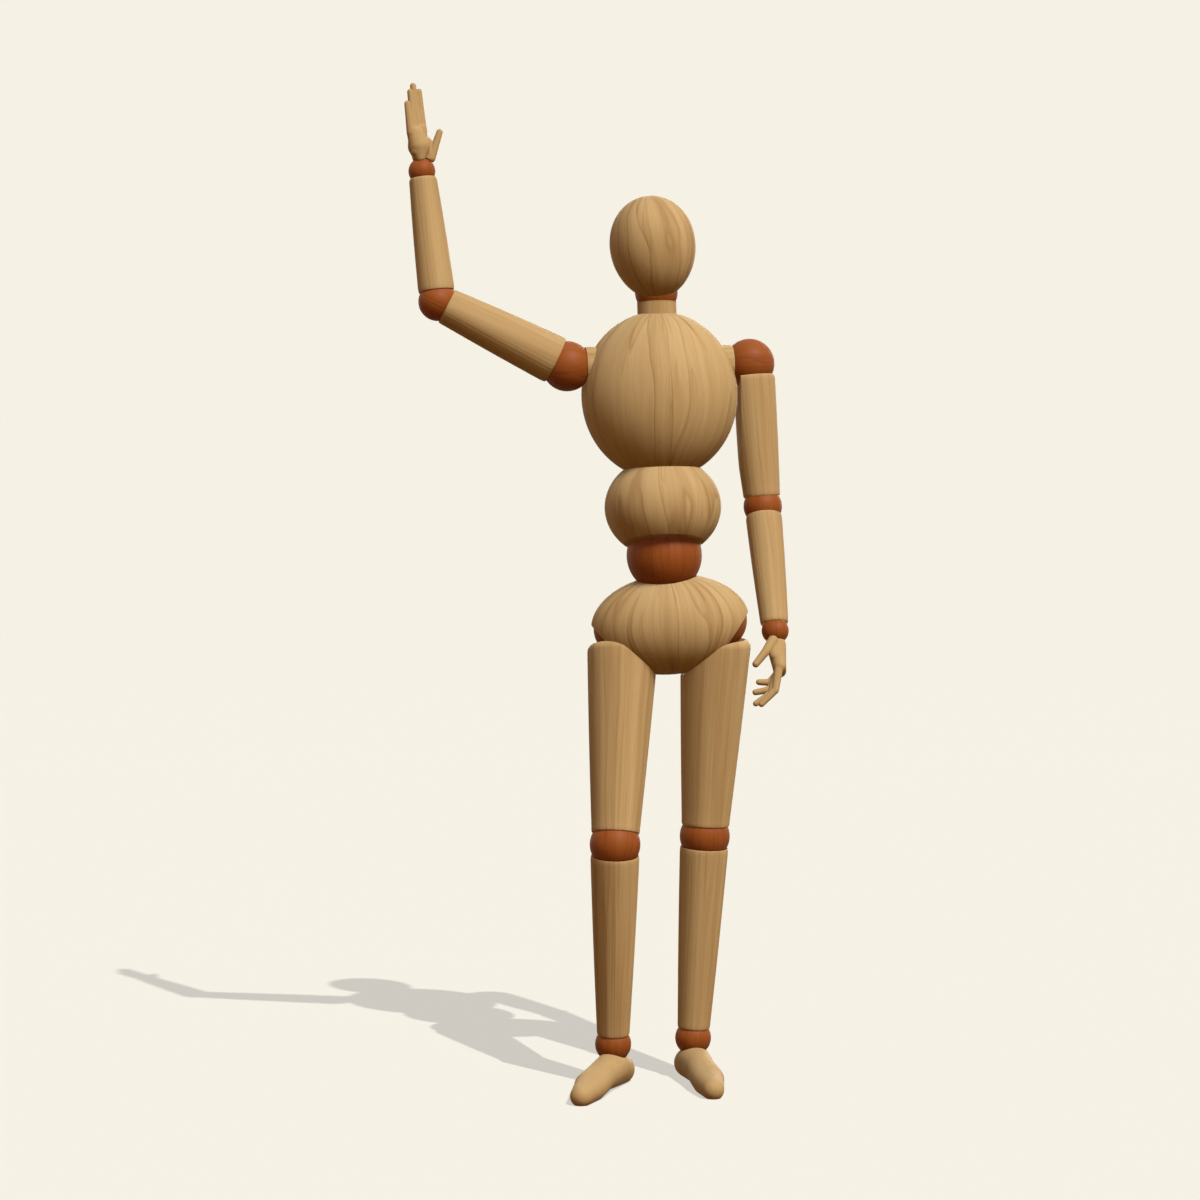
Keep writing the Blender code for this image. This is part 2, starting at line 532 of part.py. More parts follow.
# Legs
soles = []
for side, s in SIDES:
    pose = LEG[side]
    inward = Matrix(((0, 0, -s, 0), (1, 0, 0, 0), (0, -s, 0, 0), (0, 0, 0, 1)))
    socket = frame(side + "_hip_socket_frame", pelvis, shift(x=s * HIP_OUT) @ inward)
    hip = frame(side + "_hip_frame", socket, rot("Z", pose["swing"]))
    thick = hook(HIP_BALL)
    ball_joint(side + "_hip_ball", hip, HIP_BALL, thick, BEND_RANGE[side + "_hip"])
    eye_pin(side + "_hip_pin", hip, HIP_BALL, hip_tail)

    upper = frame(side + "_thigh_frame", hip, rot("X", pose["bend"]))
    balls, bore = (HIP_BALL, KNEE_BALL), SPRING["thigh"]["bore"]
    low = cup_points(KNEE_BALL, bore, rim_of(KNEE_BALL, THIGH_R[1], KNEE_RIM))
    low = [(r, -THIGH - z) for r, z in low]
    points = [(bore, -THIGH_TOP), (THIGH_R[0] - THIGH_ROUND, -THIGH_TOP)]
    points += corner(THIGH_R[0] - THIGH_ROUND, THIGH_R[0], -THIGH_TOP, 1.2 * THIGH_ROUND)
    points += corner(low[-1][0], THIGH_R[1], low[-1][1], -CORNER)[::-1] + low[::-1]
    thigh = place(side + "_thigh", turned(side + "_thigh", points, True, 18), upper, LIGHT)
    girth = arc(PELVIS_R + 2 * CLEAR, 0, pi, 14, 0, (PELVIS_W + 2 * CLEAR) / (PELVIS_R + 2 * CLEAR))
    scoop = cut(thigh, turned(side + "_scoop", girth, False, 24))
    scoop.matrix_local = rot("X", -pose["bend"]) @ rot("Z", -pose["swing"]) @ shift(z=HIP_OUT)
    spring(side + "_thigh_spring", upper, "thigh", THIGH, balls, thick)

    knee = frame(side + "_knee_frame", upper, shift(z=-THIGH) @ rot("Z", pose["twist"]))
    ball_joint(side + "_knee_ball", knee, KNEE_BALL, thick, BEND_RANGE[side + "_knee"])
    eye_pin(side + "_knee_pin", knee, KNEE_BALL, coil_ends("thigh", THIGH, balls)[2])

    lower = frame(side + "_shin_frame", knee, rot("X", pose["knee"]))
    balls = (KNEE_BALL, ANKLE_BALL)
    limb(side + "_shin", lower, SHIN, balls, SHIN_R, SPRING["shin"]["bore"], KNEE_RIM)
    thin = hook(ANKLE_BALL)
    spring(side + "_shin_spring", lower, "shin", SHIN, balls, thin)

    ankle = frame(side + "_ankle_frame", lower, shift(z=-SHIN) @ rot("Z", pose["turn"]))
    ball_joint(side + "_ankle_ball", ankle, ANKLE_BALL, thin, BEND_RANGE[side + "_ankle"])
    eye_pin(side + "_ankle_pin", ankle, ANKLE_BALL, coil_ends("shin", SHIN, balls)[2])

    bpy.context.view_layer.update()
    spot = ankle.matrix_world.translation
    upright = Matrix.Translation(spot) @ rot("Z", pose["splay"])
    level = ankle.matrix_world.inverted() @ upright
    pitch = level.to_3x3().to_euler("XYZ").x
    hinge = frame(side + "_foot_frame", ankle, Matrix.Rotation(pitch, 4, "X"))
    ring = pin_size(ANKLE_BALL)[1]
    spots = eye_path(ring, eye_past(ANKLE_BALL, thin), FOOT_SCREW)
    wire(side + "_foot_screw_eye", [(0, u, -h) for u, h in spots], thin, hinge)
    bpy.context.view_layer.update()
    sole = frame(side + "_sole_frame", hinge, hinge.matrix_world.inverted() @ upright)
    heel, ankle_block, arch, ball, toe = 5.0, 5.6, 5.0, 4.6, 3.6
    bars = [[(0, 8.0, -9.6, heel), (0, -1.0, -7.6, ankle_block), (0.2 * s, -14, -8.4, arch)],
            [(0.2 * s, -13, -8.4, arch), (1.4 * s, -25, -9.8, ball), (-0.6 * s, -27, -10.2, 4.2)],
            [(1.4 * s, -24, -9.8, ball), (-0.6 * s, -27, -10.2, 4.2), (0, -38.5, -10.8, toe)]]
    foot = blob(side + "_foot", bars, FOOT_UNIT, FOOT_VOXEL, 0.028, sole)
    soles.append((cut(foot, rod_tool(side + "_floor", 0.07, -0.03, 0.0, 16)), spot.z))
    cut(foot, sphere_tool(side + "_foot_cup", ANKLE_BALL + CLEAR, 10, 16))
    hole = cut(foot, rod_tool(side + "_foot_hole", thin + GLUE, -FOOT_SCREW - CLEAR, -0.68 * ANKLE_BALL))
    hole.parent = hinge
    hole.matrix_local = Matrix()

# Both soles are planed at one floor height
ground = min(height for tool, height in soles) - ANKLE_HEIGHT
for tool, height in soles:
    tool.parent = root
    tool.matrix_local = shift(z=ground)

# Stand the figure on the floor with the middle of its box at the origin
bpy.context.view_layer.update()
graph = bpy.context.evaluated_depsgraph_get()
spots = []
for obj in bpy.data.objects:
    if obj.type == "MESH" and not obj.hide_render:
        body = obj.evaluated_get(graph)
        spots += [obj.matrix_world @ v.co for v in body.to_mesh().vertices]
        body.to_mesh_clear()
middle = [(min(p[i] for p in spots) + max(p[i] for p in spots)) / 2 for i in range(2)]
floor = min(p[2] for p in spots)
root.location = (-middle[0], -middle[1], -floor)
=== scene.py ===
"""Finish of a jointed drawing mannequin: turned pale wood, red-stained balls, steel wire.

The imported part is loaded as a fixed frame. Every wooden piece is modelled again, smooth and
close-grained, in the frame of its own joint, and rides on the same body as its solid.
"""

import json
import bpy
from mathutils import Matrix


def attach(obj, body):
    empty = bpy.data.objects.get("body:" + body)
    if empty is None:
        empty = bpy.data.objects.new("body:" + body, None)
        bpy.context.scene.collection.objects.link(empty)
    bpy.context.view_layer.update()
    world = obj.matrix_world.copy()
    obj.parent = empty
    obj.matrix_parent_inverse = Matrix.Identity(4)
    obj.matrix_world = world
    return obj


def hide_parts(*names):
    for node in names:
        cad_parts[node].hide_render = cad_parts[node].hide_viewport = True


bl_info = {
    "name": "Drawing mannequin finish",
    "version": (1, 0, 0),
    "blender": (4, 5, 0),
    "location": "View3D > Sidebar > Mannequin",
    "description": "Models the wooden pieces of a jointed figure and lights them",
    "category": "Object",
}

from math import asin, atan2, cos, degrees, hypot, pi, radians, sin, sqrt

import bpy
from bpy.props import FloatProperty, FloatVectorProperty, IntProperty, PointerProperty
from mathutils import Matrix, Vector

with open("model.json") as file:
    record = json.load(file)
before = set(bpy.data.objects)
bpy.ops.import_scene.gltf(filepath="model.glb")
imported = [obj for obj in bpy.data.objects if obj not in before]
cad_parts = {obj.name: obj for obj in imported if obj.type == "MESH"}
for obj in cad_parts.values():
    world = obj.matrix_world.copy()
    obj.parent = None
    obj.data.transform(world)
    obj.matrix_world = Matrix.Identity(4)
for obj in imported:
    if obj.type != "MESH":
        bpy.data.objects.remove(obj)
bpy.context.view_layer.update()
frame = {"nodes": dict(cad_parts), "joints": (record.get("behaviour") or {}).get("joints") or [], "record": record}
JOINTS = {joint["name"]: joint for joint in frame["joints"]}
SIDES = {"right": -1, "left": 1}

# Joinery that follows from the part, and that a user leaves alone
HAND_REST = {"right": 0.0, "left": 4.0}
FOOT_SPLAY = {"right": -15.5, "left": 8.5}
RIM, KNEE_RIM, NECK_RIM, WAIST_RIM = radians(61), radians(65), radians(63), radians(75)
SPINE_BORE, SPINE_REACH, SNUG = 0.0036, 0.005, 0.00015
HEAD_BORE, HEAD_BORE_DEPTH, EGG = 0.0042, 0.0098, 0.05
NECK_EDGE, NECK_MID = 0.0006, 0.008
WAIST_CUP_MOUTH, WAIST_MOUTH, NAPE_MOUTH = 0.0042, 0.0058, 0.0042
WAIST_FUNNEL, TRIM_TURN = 0.002, -9.0
PEG_IN, PEG_MID, PEG_BORE, PEG_LIP, PEG_BACK = 0.013, 0.018, 0.00092, 0.0003, 0.02
HOOK_OUT, HOOK_HALF, HOOK_REACH = 0.0152, 0.0034, 0.02
HOOK_BACK, HOOK_FRONT, FACET_TURN = -30.0, 44.0, 129.0
EYE_HOLE, EYE_LOW, EYE_HIGH = 0.0009, 0.0050, 0.0150
THIGH_BORE, THIGH_EDGE, THIGH_CROWN = 0.0036, 0.0022, 0.00264
SWELL, SHAVE = 0.00012, 0.0004
PIN_SHARE, RING_SHARE, EYE_SHARE, SLOT_SHARE, FINE_WIRE = 0.075, 0.24, 2.3, 1.4, 0.00045
HAND_WIRE, HAND_HOLE_LOW, HAND_HOLE_HIGH = 0.00033, -0.0095, -0.0030

# Facets of the finer pieces, and cutters that are larger than what they cut
FINE_STEPS, CHEST_STEPS, BORE_STEPS, PROFILE = 96, 112, 16, 64
CHEST_RINGS, ABDOMEN_RINGS, BALL_RINGS = 56, 40, 40
TOOL, THROUGH = 0.03, 0.05

# Carving plans are drawn in millimetres, with the grit and the rounds of sanding
MILLIMETRE = 0.001
HAND_GRIT, HAND_ROUNDS, FOOT_GRIT, FOOT_ROUNDS, CARVED_EDGE = 0.0002, 8, 0.0003, 10, 45.0


# Frames of the pieces, read from the joints


def spot(joint):
    return Vector(JOINTS[joint]["pos_m"])


def line(joint):
    return Vector(JOINTS[joint]["axis"])


def seat(origin, z, x):
    """A frame at a point with its Z along one line and its X nearest to another."""
    z = z.normalized()
    x = (x - z * x.dot(z)).normalized()
    return Matrix.Translation(origin) @ Matrix((x, z.cross(x), z)).transposed().to_4x4()


def rot(axis, angle):
    return Matrix.Rotation(radians(angle), 4, axis)


def shift(x=0.0, y=0.0, z=0.0):
    return Matrix.Translation((x, y, z))


def frames():
    """The rest frame of every wooden piece, with +Z towards the body along each limb."""
    hips = (spot("right_hip_swing") + spot("left_hip_swing")) / 2
    across, waist = line("right_hip_swing"), spot("waist_side")
    made = {
        "pelvis": seat(hips, across.cross(line("waist_side")), across),
        "waist_ball": seat(waist, line("waist_lean").cross(line("waist_side")), line("waist_lean")),
        "abdomen": seat(waist, line("chest_turn"), line("waist_lean")),
        "chest": seat(waist, line("chest_turn"), line("right_shoulder_swing")),
        "head": seat(spot("head_tilt"), line("head_nod").cross(line("head_tilt")), line("head_nod")),
    }
    made["neck"], made["neck_ball"] = made["chest"], made["head"]
    chains = (("shoulder", "shoulder_swing", "raise", "upper_arm"),
              ("elbow", "upper_arm_twist", "bend", "forearm"),
              ("wrist", "forearm_twist", "bend", None),
              ("hip", "hip_swing", "abduct", "thigh"),
              ("knee", "thigh_twist", "bend", "shin"),
              ("ankle", "shin_twist", "pitch", None))
    for side in SIDES:
        for joint, swivel, bend, limb in chains:
            hinge = f"{side}_{joint}_{bend}"
            made[f"{side}_{joint}_ball"] = seat(spot(hinge), line(f"{side}_{swivel}"), line(hinge))
            if limb:
                made[f"{side}_{limb}"] = seat(spot(hinge), line(f"{side}_{limb}_twist"), line(hinge))
        made[f"{side}_shoulder_peg"] = made[f"{side}_shoulder_ball"]
        made[f"{side}_hand"] = made[f"{side}_wrist_ball"] @ rot("X", HAND_REST[side])
        ankle = Matrix.Translation(spot(f"{side}_ankle_pitch"))
        made[f"{side}_foot"] = ankle @ rot("Z", FOOT_SPLAY[side])
    return made


FRAMES = frames()
BODY_OF = {node: body for body, nodes in frame["record"]["behaviour"]["bodies"].items()
           for node in nodes}


def neck_rise():
    """Height of the neck ball above the waist ball, along the chest."""
    return (spot("head_tilt") - spot("waist_side")).dot(line("chest_turn").normalized())


def shoulder_out(side):
    """Distance of a shoulder ball from the middle of the chest."""
    return abs((FRAMES["chest"].inverted() @ FRAMES[side + "_shoulder_ball"]).translation.x)


def span(side, upper, lower):
    """Distance between the centres of two balls."""
    return (FRAMES[f"{side}_{upper}_ball"].translation
            - FRAMES[f"{side}_{lower}_ball"].translation).length


# Sizes, colours and stage settings


def length(name, value, text):
    return FloatProperty(name=name, description=text, default=value, unit="LENGTH", precision=5)


def pair(name, values, text):
    return FloatVectorProperty(name=name, description=text, default=values, size=2, unit="LENGTH",
                               precision=5)


def colour(name, rgb, text):
    return FloatVectorProperty(name=name, description=text, default=rgb, size=3, subtype="COLOR",
                               min=0.0, max=1.0)


class MannequinSizes(bpy.types.PropertyGroup):
    shoulder: length("Shoulder ball", 0.0082, "Radius of each shoulder ball")
    elbow: length("Elbow ball", 0.0063, "Radius of each elbow ball")
    wrist: length("Wrist ball", 0.0044, "Radius of each wrist ball")
    hip: length("Hip ball", 0.0098, "Radius of each hip ball")
    knee: length("Knee ball", 0.0082, "Radius of each knee ball")
    ankle: length("Ankle ball", 0.0059, "Radius of each ankle ball")
    waist: length("Waist ball", 0.0123, "Radius of the waist ball")
    nape: length("Neck ball", 0.0070, "Radius of the neck ball")
    upper_arm: pair("Upper arm", (0.0079, 0.0061), "Radius near the shoulder and the elbow")
    forearm: pair("Forearm", (0.0059, 0.0046), "Radius near the elbow and the wrist")
    thigh: pair("Thigh", (0.0115, 0.0079), "Radius near the hip and the knee")
    shin: pair("Shin", (0.0079, 0.0054), "Radius near the knee and the ankle")
    head: pair("Head", (0.0140, 0.0169), "Half width and half height of the head")
    head_rise: length("Head rise", 0.0143, "Middle of the head above the neck ball")
    head_fore: length("Head fore", 0.0035, "Middle of the head in front of the neck ball")
    chest: FloatVectorProperty(name="Chest", description="Half width, depth and height", size=3,
                               default=(0.0256, 0.0215, 0.0275), unit="LENGTH", precision=5)
    chest_rise: length("Chest rise", 0.0523, "Middle of the chest above the waist ball")
    abdomen: pair("Abdomen", (0.0190, 0.0166), "Half width and half height of the abdomen")
    abdomen_rise: length("Abdomen rise", 0.0158, "Middle of the abdomen above the waist ball")
    seam: length("Seam", 0.0282, "Joint of chest and abdomen above the waist ball")
    trim: length("Trim", 0.0036, "Front of the abdomen's lower edge above the waist ball")
    pelvis: pair("Pelvis", (0.0259, 0.0164), "Half width and radius of the pelvis")
    neck: length("Neck", 0.0064, "Radius of the neck")
    neck_length: length("Neck length", 0.0128, "Foot of the neck below the neck ball")
    peg: length("Shoulder peg", 0.0062, "Radius of each shoulder peg")
    facet_drop: length("Facet drop", 0.0068, "Distance of the hip facet from the hip ball's centre")
    thigh_top: length("Thigh top", 0.0058, "Top of the thigh below the hip ball's centre")
    corner: length("Corner", 0.0018, "Rounding along the ends of the limbs")
    lip: length("Lip", 0.00025, "Least width of the rounding beside a cup")
    gap: length("Gap", 0.0003, "Running clearance between a ball and its cup")
    steps: IntProperty(name="Steps", description="Facets round a turned piece", default=72, min=12)


class MannequinFinish(bpy.types.PropertyGroup):
    pale: colour("Pale wood", (0.765, 0.505, 0.216), "Pale wood between its grain lines")
    pale_line: colour("Pale grain", (0.39, 0.176, 0.046), "Dark grain lines of the pale wood")
    red: colour("Red wood", (0.43, 0.112, 0.018), "Red-brown stain on the balls")
    red_line: colour("Red grain", (0.18, 0.030, 0.0045), "Dark grain lines under the stain")
    steel: colour("Steel", (0.52, 0.52, 0.54), "Drawn spring wire")


class MannequinStage(bpy.types.PropertyGroup):
    backdrop: colour("Backdrop", (0.921, 0.879, 0.783), "Pale ground and background")
    floor_lit: colour("Floor", (0.554, 0.526, 0.446), "What the floor takes from its lamp")
    floor_glow: colour("Floor glow", (0.530, 0.503, 0.440), "What the floor keeps in the shadow")
    sky: colour("Sky", (0.12, 0.19, 0.32), "Soft light from above")
    horizon: colour("Horizon", (0.255, 0.132, 0.030), "Soft light from the sides")
    ground: colour("Ground", (0.01, 0.005, 0.002), "Soft light from below")
    key: FloatProperty(name="Key", description="Strength of the soft lamp on the figure", default=2.45)
    fill: FloatProperty(name="Fill", description="Strength of the soft lamp behind it", default=1.1)
    sun: FloatProperty(name="Sun", description="Strength of the small lamp on the floor", default=2.26)
    lens: FloatProperty(name="Lens", description="Focal length", default=138.9,
                        subtype="DISTANCE_CAMERA")
    camera: FloatVectorProperty(name="Camera", description="Place of the camera", size=3,
                                default=(0.0013, -1.4962, 0.2566), subtype="TRANSLATION")
    pitch: FloatProperty(name="Pitch", description="Downward tilt of the camera",
                         default=radians(3.731), subtype="ANGLE")
    key_light: FloatVectorProperty(name="Key light", description="Direction towards the figure's lamp",
                                   size=3, default=(0.50, -0.67, 1.0), subtype="DIRECTION")
    light: FloatVectorProperty(name="Light", description="Direction towards the floor's lamp", size=3,
                               default=(0.377, -0.745, 1.0), subtype="DIRECTION")


# Modelling by hand tools


def clear():
    if bpy.context.mode != "OBJECT":
        bpy.ops.object.mode_set(mode="OBJECT")
    bpy.ops.object.select_all(action="DESELECT")


def take(obj):
    clear()
    obj.select_set(True)
    bpy.context.view_layer.objects.active = obj


def named(name):
    obj = bpy.context.object
    obj.name = obj.data.name = name
    return obj


def sealed(obj):
    """Merge the seam and the poles and turn the faces outwards."""
    take(obj)
    bpy.ops.object.mode_set(mode="EDIT")
    bpy.ops.mesh.select_all(action="SELECT")
    bpy.ops.mesh.remove_doubles(threshold=0.000002)
    bpy.ops.mesh.normals_make_consistent(inside=False)
    bpy.ops.object.mode_set(mode="OBJECT")
    return obj


def turned(name, points, closed=False, steps=None):
    """Pull one point along a profile of (radius, height), then spin the line about Z."""
    clear()
    bpy.ops.mesh.primitive_plane_add(size=0.001)
    obj = named(name)
    bpy.ops.object.mode_set(mode="EDIT")
    bpy.ops.mesh.select_all(action="SELECT")
    bpy.ops.mesh.merge(type="CENTER")
    x, z = points[0]
    bpy.ops.transform.translate(value=(x, 0, z))
    for to_x, to_z in list(points[1:]) + list(points[:1] if closed else []):
        bpy.ops.mesh.extrude_region_move(TRANSFORM_OT_translate={"value": (to_x - x, 0, to_z - z)})
        x, z = to_x, to_z
    bpy.ops.mesh.select_all(action="SELECT")
    bpy.ops.mesh.spin(steps=steps or bpy.context.scene.mannequin_sizes.steps, angle=2 * pi,
                      center=(0, 0, 0), axis=(0, 0, 1), use_auto_merge=True)
    return sealed(obj)


def ball(name, radius, segments=48, rings=24):
    clear()
    bpy.ops.mesh.primitive_uv_sphere_add(segments=segments, ring_count=rings, radius=radius)
    return named(name)


def rod(name, radius, low, high, steps=48):
    return turned(name, [(0, low), (radius, low), (radius, high), (0, high)], False, steps)


def plate(name, outline, half):
    """A flat plate in the YZ plane: its outline is pulled round, filled and thickened along X."""
    clear()
    bpy.ops.mesh.primitive_plane_add(size=0.001)
    obj = named(name)
    bpy.ops.object.mode_set(mode="EDIT")
    bpy.ops.mesh.select_all(action="SELECT")
    bpy.ops.mesh.merge(type="CENTER")
    y, z = outline[0]
    bpy.ops.transform.translate(value=(-half, y, z))
    for to_y, to_z in outline[1:]:
        bpy.ops.mesh.extrude_region_move(TRANSFORM_OT_translate={"value": (0, to_y - y, to_z - z)})
        y, z = to_y, to_z
    bpy.ops.mesh.select_all(action="SELECT")
    bpy.ops.mesh.edge_face_add()
    bpy.ops.mesh.select_all(action="SELECT")
    bpy.ops.mesh.extrude_region_move(TRANSFORM_OT_translate={"value": (2 * half, 0, 0)})
    return sealed(obj)


def cut(obj, tool, place=None):
    """Cut one piece with another, which is then thrown away."""
    if place is not None:
        tool.matrix_world = place
    bpy.context.view_layer.update()
    take(obj)
    carve = obj.modifiers.new("carve", "BOOLEAN")
    carve.solver, carve.operation, carve.object = "EXACT", "DIFFERENCE", tool
    bpy.ops.object.modifier_apply(modifier=carve.name)
    bpy.data.objects.remove(tool, do_unlink=True)
    return obj


def carved(name, bars, grit, rounds):
    """Bars hulled from balls of (x, y, z, radius), melted together and sanded smooth."""
    made = []
    for bar in bars:
        clear()
        for *centre, radius in bar:
            bpy.ops.mesh.primitive_ico_sphere_add(subdivisions=4, radius=radius * MILLIMETRE,
                                                  location=[c * MILLIMETRE for c in centre])
            made.append(bpy.context.object)
        for part in made[-len(bar):]:
            part.select_set(True)
        bpy.ops.object.join()
        made[-len(bar):] = [bpy.context.object]
        bpy.ops.object.mode_set(mode="EDIT")
        bpy.ops.mesh.select_all(action="SELECT")
        bpy.ops.mesh.convex_hull()
        bpy.ops.object.mode_set(mode="OBJECT")
    clear()
    for part in made:
        part.select_set(True)
    bpy.context.view_layer.objects.active = made[0]
    bpy.ops.object.join()
    obj = named(name)
    bpy.ops.object.transform_apply(location=True, rotation=True, scale=True)
    for kind, values in (("REMESH", {"mode": "VOXEL", "voxel_size": grit}),
                         ("SMOOTH", {"factor": 0.5, "iterations": rounds})):
        tool = obj.modifiers.new("sand", kind)
        for key, value in values.items():
            setattr(tool, key, value)
        bpy.ops.object.modifier_apply(modifier=tool.name)
    return obj


def arc(radius, start, stop, steps, height=0.0, stretch=1.0):
    """Points on a half circle measured from straight up."""
    return [(max(radius * sin(a), 0.0), height + stretch * radius * cos(a))
            for a in (start + (stop - start) * i / steps for i in range(steps + 1))]


def cup(radius, bore, rim, steps=14):
    """A hollow that opens upwards, from its bore out to its rim."""
    return [(r, -h) for r, h in arc(radius, asin(bore / radius), rim, steps)]


def rim_of(ball, radius, most):
    """How far round a ball a cup reaches and still leaves a rounded lip."""
    size = bpy.context.scene.mannequin_sizes
    return min(most, asin(min((radius - size.lip) / (ball + size.gap), 1.0)))


def rounded(inner, outer, height, drop, steps=8):
    """A rounded edge from a cup's rim out to the turned side."""
    turn = [radians(90) * (i + 1) / steps for i in range(steps)]
    return [(inner + (outer - inner) * sin(a), height - drop * (1 - cos(a))) for a in turn]


def tapered(top, bottom, steps=10):
    """Points down a side that swells very slightly between its ends."""
    (r0, z0), (r1, z1) = top, bottom
    return [(r0 + (r1 - r0) * t + SWELL * sin(pi * t), z0 + (z1 - z0) * t)
            for t in ((i + 1) / (steps + 1) for i in range(steps))]


GRAIN_STEP = 0.61
GRAIN_CORE = 0.00002


def dressed(obj, node, finish, angle=32.0, turned_grain=True, middle=0.0):
    """Lay the grain along the piece, put it in its joint's frame and let it ride there."""
    take(obj)
    grain = obj.data.attributes.new("grain", "FLOAT_VECTOR", "POINT")
    apart = GRAIN_STEP * sorted(FRAMES).index(node)
    girth = max(hypot(point.co.x, point.co.y - middle) for point in obj.data.vertices)
    for point, mark in zip(obj.data.vertices, grain.data):
        x, y, z = point.co.x, point.co.y - middle, point.co.z
        if turned_grain:
            out = hypot(x, y)
            x, y = (x * girth / out, y * girth / out) if out > GRAIN_CORE else (0.0, 0.0)
        mark.vector = (x, y, z + apart)
    bpy.ops.object.shade_smooth_by_angle(angle=radians(angle))
    obj.matrix_world = FRAMES[node]
    bpy.ops.object.transform_apply(location=True, rotation=True, scale=True)
    obj.data.materials.clear()
    obj.data.materials.append(finish)
    # Lit by the lamps and the sky alone, so that undersides stay dark beside bright wood
    obj.visible_diffuse = False
    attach(obj, BODY_OF[node])
    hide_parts(node)
    return obj


# Finishes


class Shader:
    """A short hand for laying out the nodes of a material or of the world."""

    def __init__(self, owner):
        owner.use_nodes = True
        self.owner, self.tree = owner, owner.node_tree
        self.skin = self.tree.nodes.get("Principled BSDF")

    def add(self, kind, inputs=None, **settings):
        node = self.tree.nodes.new(kind)
        for key, value in settings.items():
            setattr(node, key, value)
        for key, value in (inputs or {}).items():
            self.put(node.inputs[key], value)
        return node

    def put(self, socket, value):
        if isinstance(value, bpy.types.NodeSocket):
            self.tree.links.new(value, socket)
        else:
            socket.default_value = value

    def calc(self, a, b, operation="ADD", clamp=False):
        node = self.add("ShaderNodeMath", {0: a, 1: b}, operation=operation, use_clamp=clamp)
        return node.outputs[0]

    def times(self, a, b):
        return self.calc(a, b, "MULTIPLY")

    def noise(self, vector, scale, detail=2.0, roughness=0.5):
        placed = self.add("ShaderNodeMapping", {"Vector": vector, "Scale": scale})
        return self.add("ShaderNodeTexNoise", {"Vector": placed.outputs[0], "Scale": 1.0,
                                               "Detail": detail, "Roughness": roughness})

    def swayed(self, vector, scale, reach):
        """Push the grain sideways by a slow noise."""
        slow = self.noise(vector, scale, 1.0).outputs["Color"]
        centred = self.add("ShaderNodeVectorMath", {0: slow, 1: (0.5, 0.5, 0.5)}, operation="SUBTRACT")
        sideways = {0: centred.outputs[0], 1: (reach, reach, 0.0), 2: vector}
        return self.add("ShaderNodeVectorMath", sideways, operation="MULTIPLY_ADD").outputs[0]

    def blend(self, share, first, second):
        node = self.add("ShaderNodeMix", data_type="RGBA")
        for place, value in ((0, share), (6, (*first, 1.0)), (7, (*second, 1.0))):
            self.put(node.inputs[place], value)
        return node.outputs[2]

    def ramp(self, value, stops):
        """Stops of a place and a colour, or of a place and a level of grey."""
        node = self.add("ShaderNodeValToRGB", {"Fac": value})
        marks = node.color_ramp.elements
        while len(marks) < len(stops):
            marks.new(0.5)
        for mark, (place, tone) in zip(marks, stops):
            rgb = (tone, tone, tone) if isinstance(tone, float) else tone
            mark.position, mark.color = place, (*rgb, 1.0)
        return node.outputs["Color"]


# Figure and run of the grain, its sway, and how strongly lines and streaks darken each wood
WOODS = {
    "torso_wood": dict(figure=80.0, run=7.0, sway=0.008, contrast=0.42, streaks=0.60, depth=0.06,
                       rough=0.50, shine=0.10),
    "limb_wood": dict(figure=210.0, run=3.0, sway=0.0015, contrast=0.14, streaks=0.85, depth=0.16,
                      rough=0.50, shine=0.10),
    "carved_wood": dict(figure=60.0, run=8.0, sway=0.004, contrast=0.05, streaks=0.20, depth=0.20,
                        rough=0.52, shine=0.10),
    "stained_wood": dict(figure=150.0, run=8.0, sway=0.003, contrast=0.25, streaks=0.50, depth=0.06,
                         rough=0.42, shine=0.20),
}
SLOW_SWAY, QUICK_SWAY, QUICK_SHARE = (60.0, 60.0, 30.0), (230.0, 230.0, 85.0), 0.16
GROWTH_RINGS, THIN_RINGS, THIN_FIGURE, THIN_RUN = 4.5, 3.0, 2.1, 2.0
GROWTH_LINE = ((0.0, 1.0), (0.08, 0.40), (0.35, 0.08), (0.93, 0.0), (1.0, 1.0))
THIN_LINE = ((0.0, 0.5), (0.10, 0.15), (0.30, 0.0), (0.94, 0.0), (1.0, 0.5))
FINE_STREAK, BROAD_STREAK = (520.0, 520.0, 10.0), (150.0, 150.0, 9.0)
PORE, PORE_MARK, PORE_TONE = (2600.0, 2600.0, 60.0), ((0.58, 0.0), (0.72, 1.0)), 0.06
LINE_HEIGHT, STREAK_HEIGHT, PORE_HEIGHT = -0.8, 0.5, -0.3
BUMP_STRENGTH, BUMP_DEPTH, ROUGH_SPREAD = 0.35, 0.0002, 0.2
DRAWN_SCALE, DRAWN_DARK, STEEL_ROUGH, STEEL_SPREAD = (900.0, 900.0, 900.0), 0.55, 0.22, 0.25


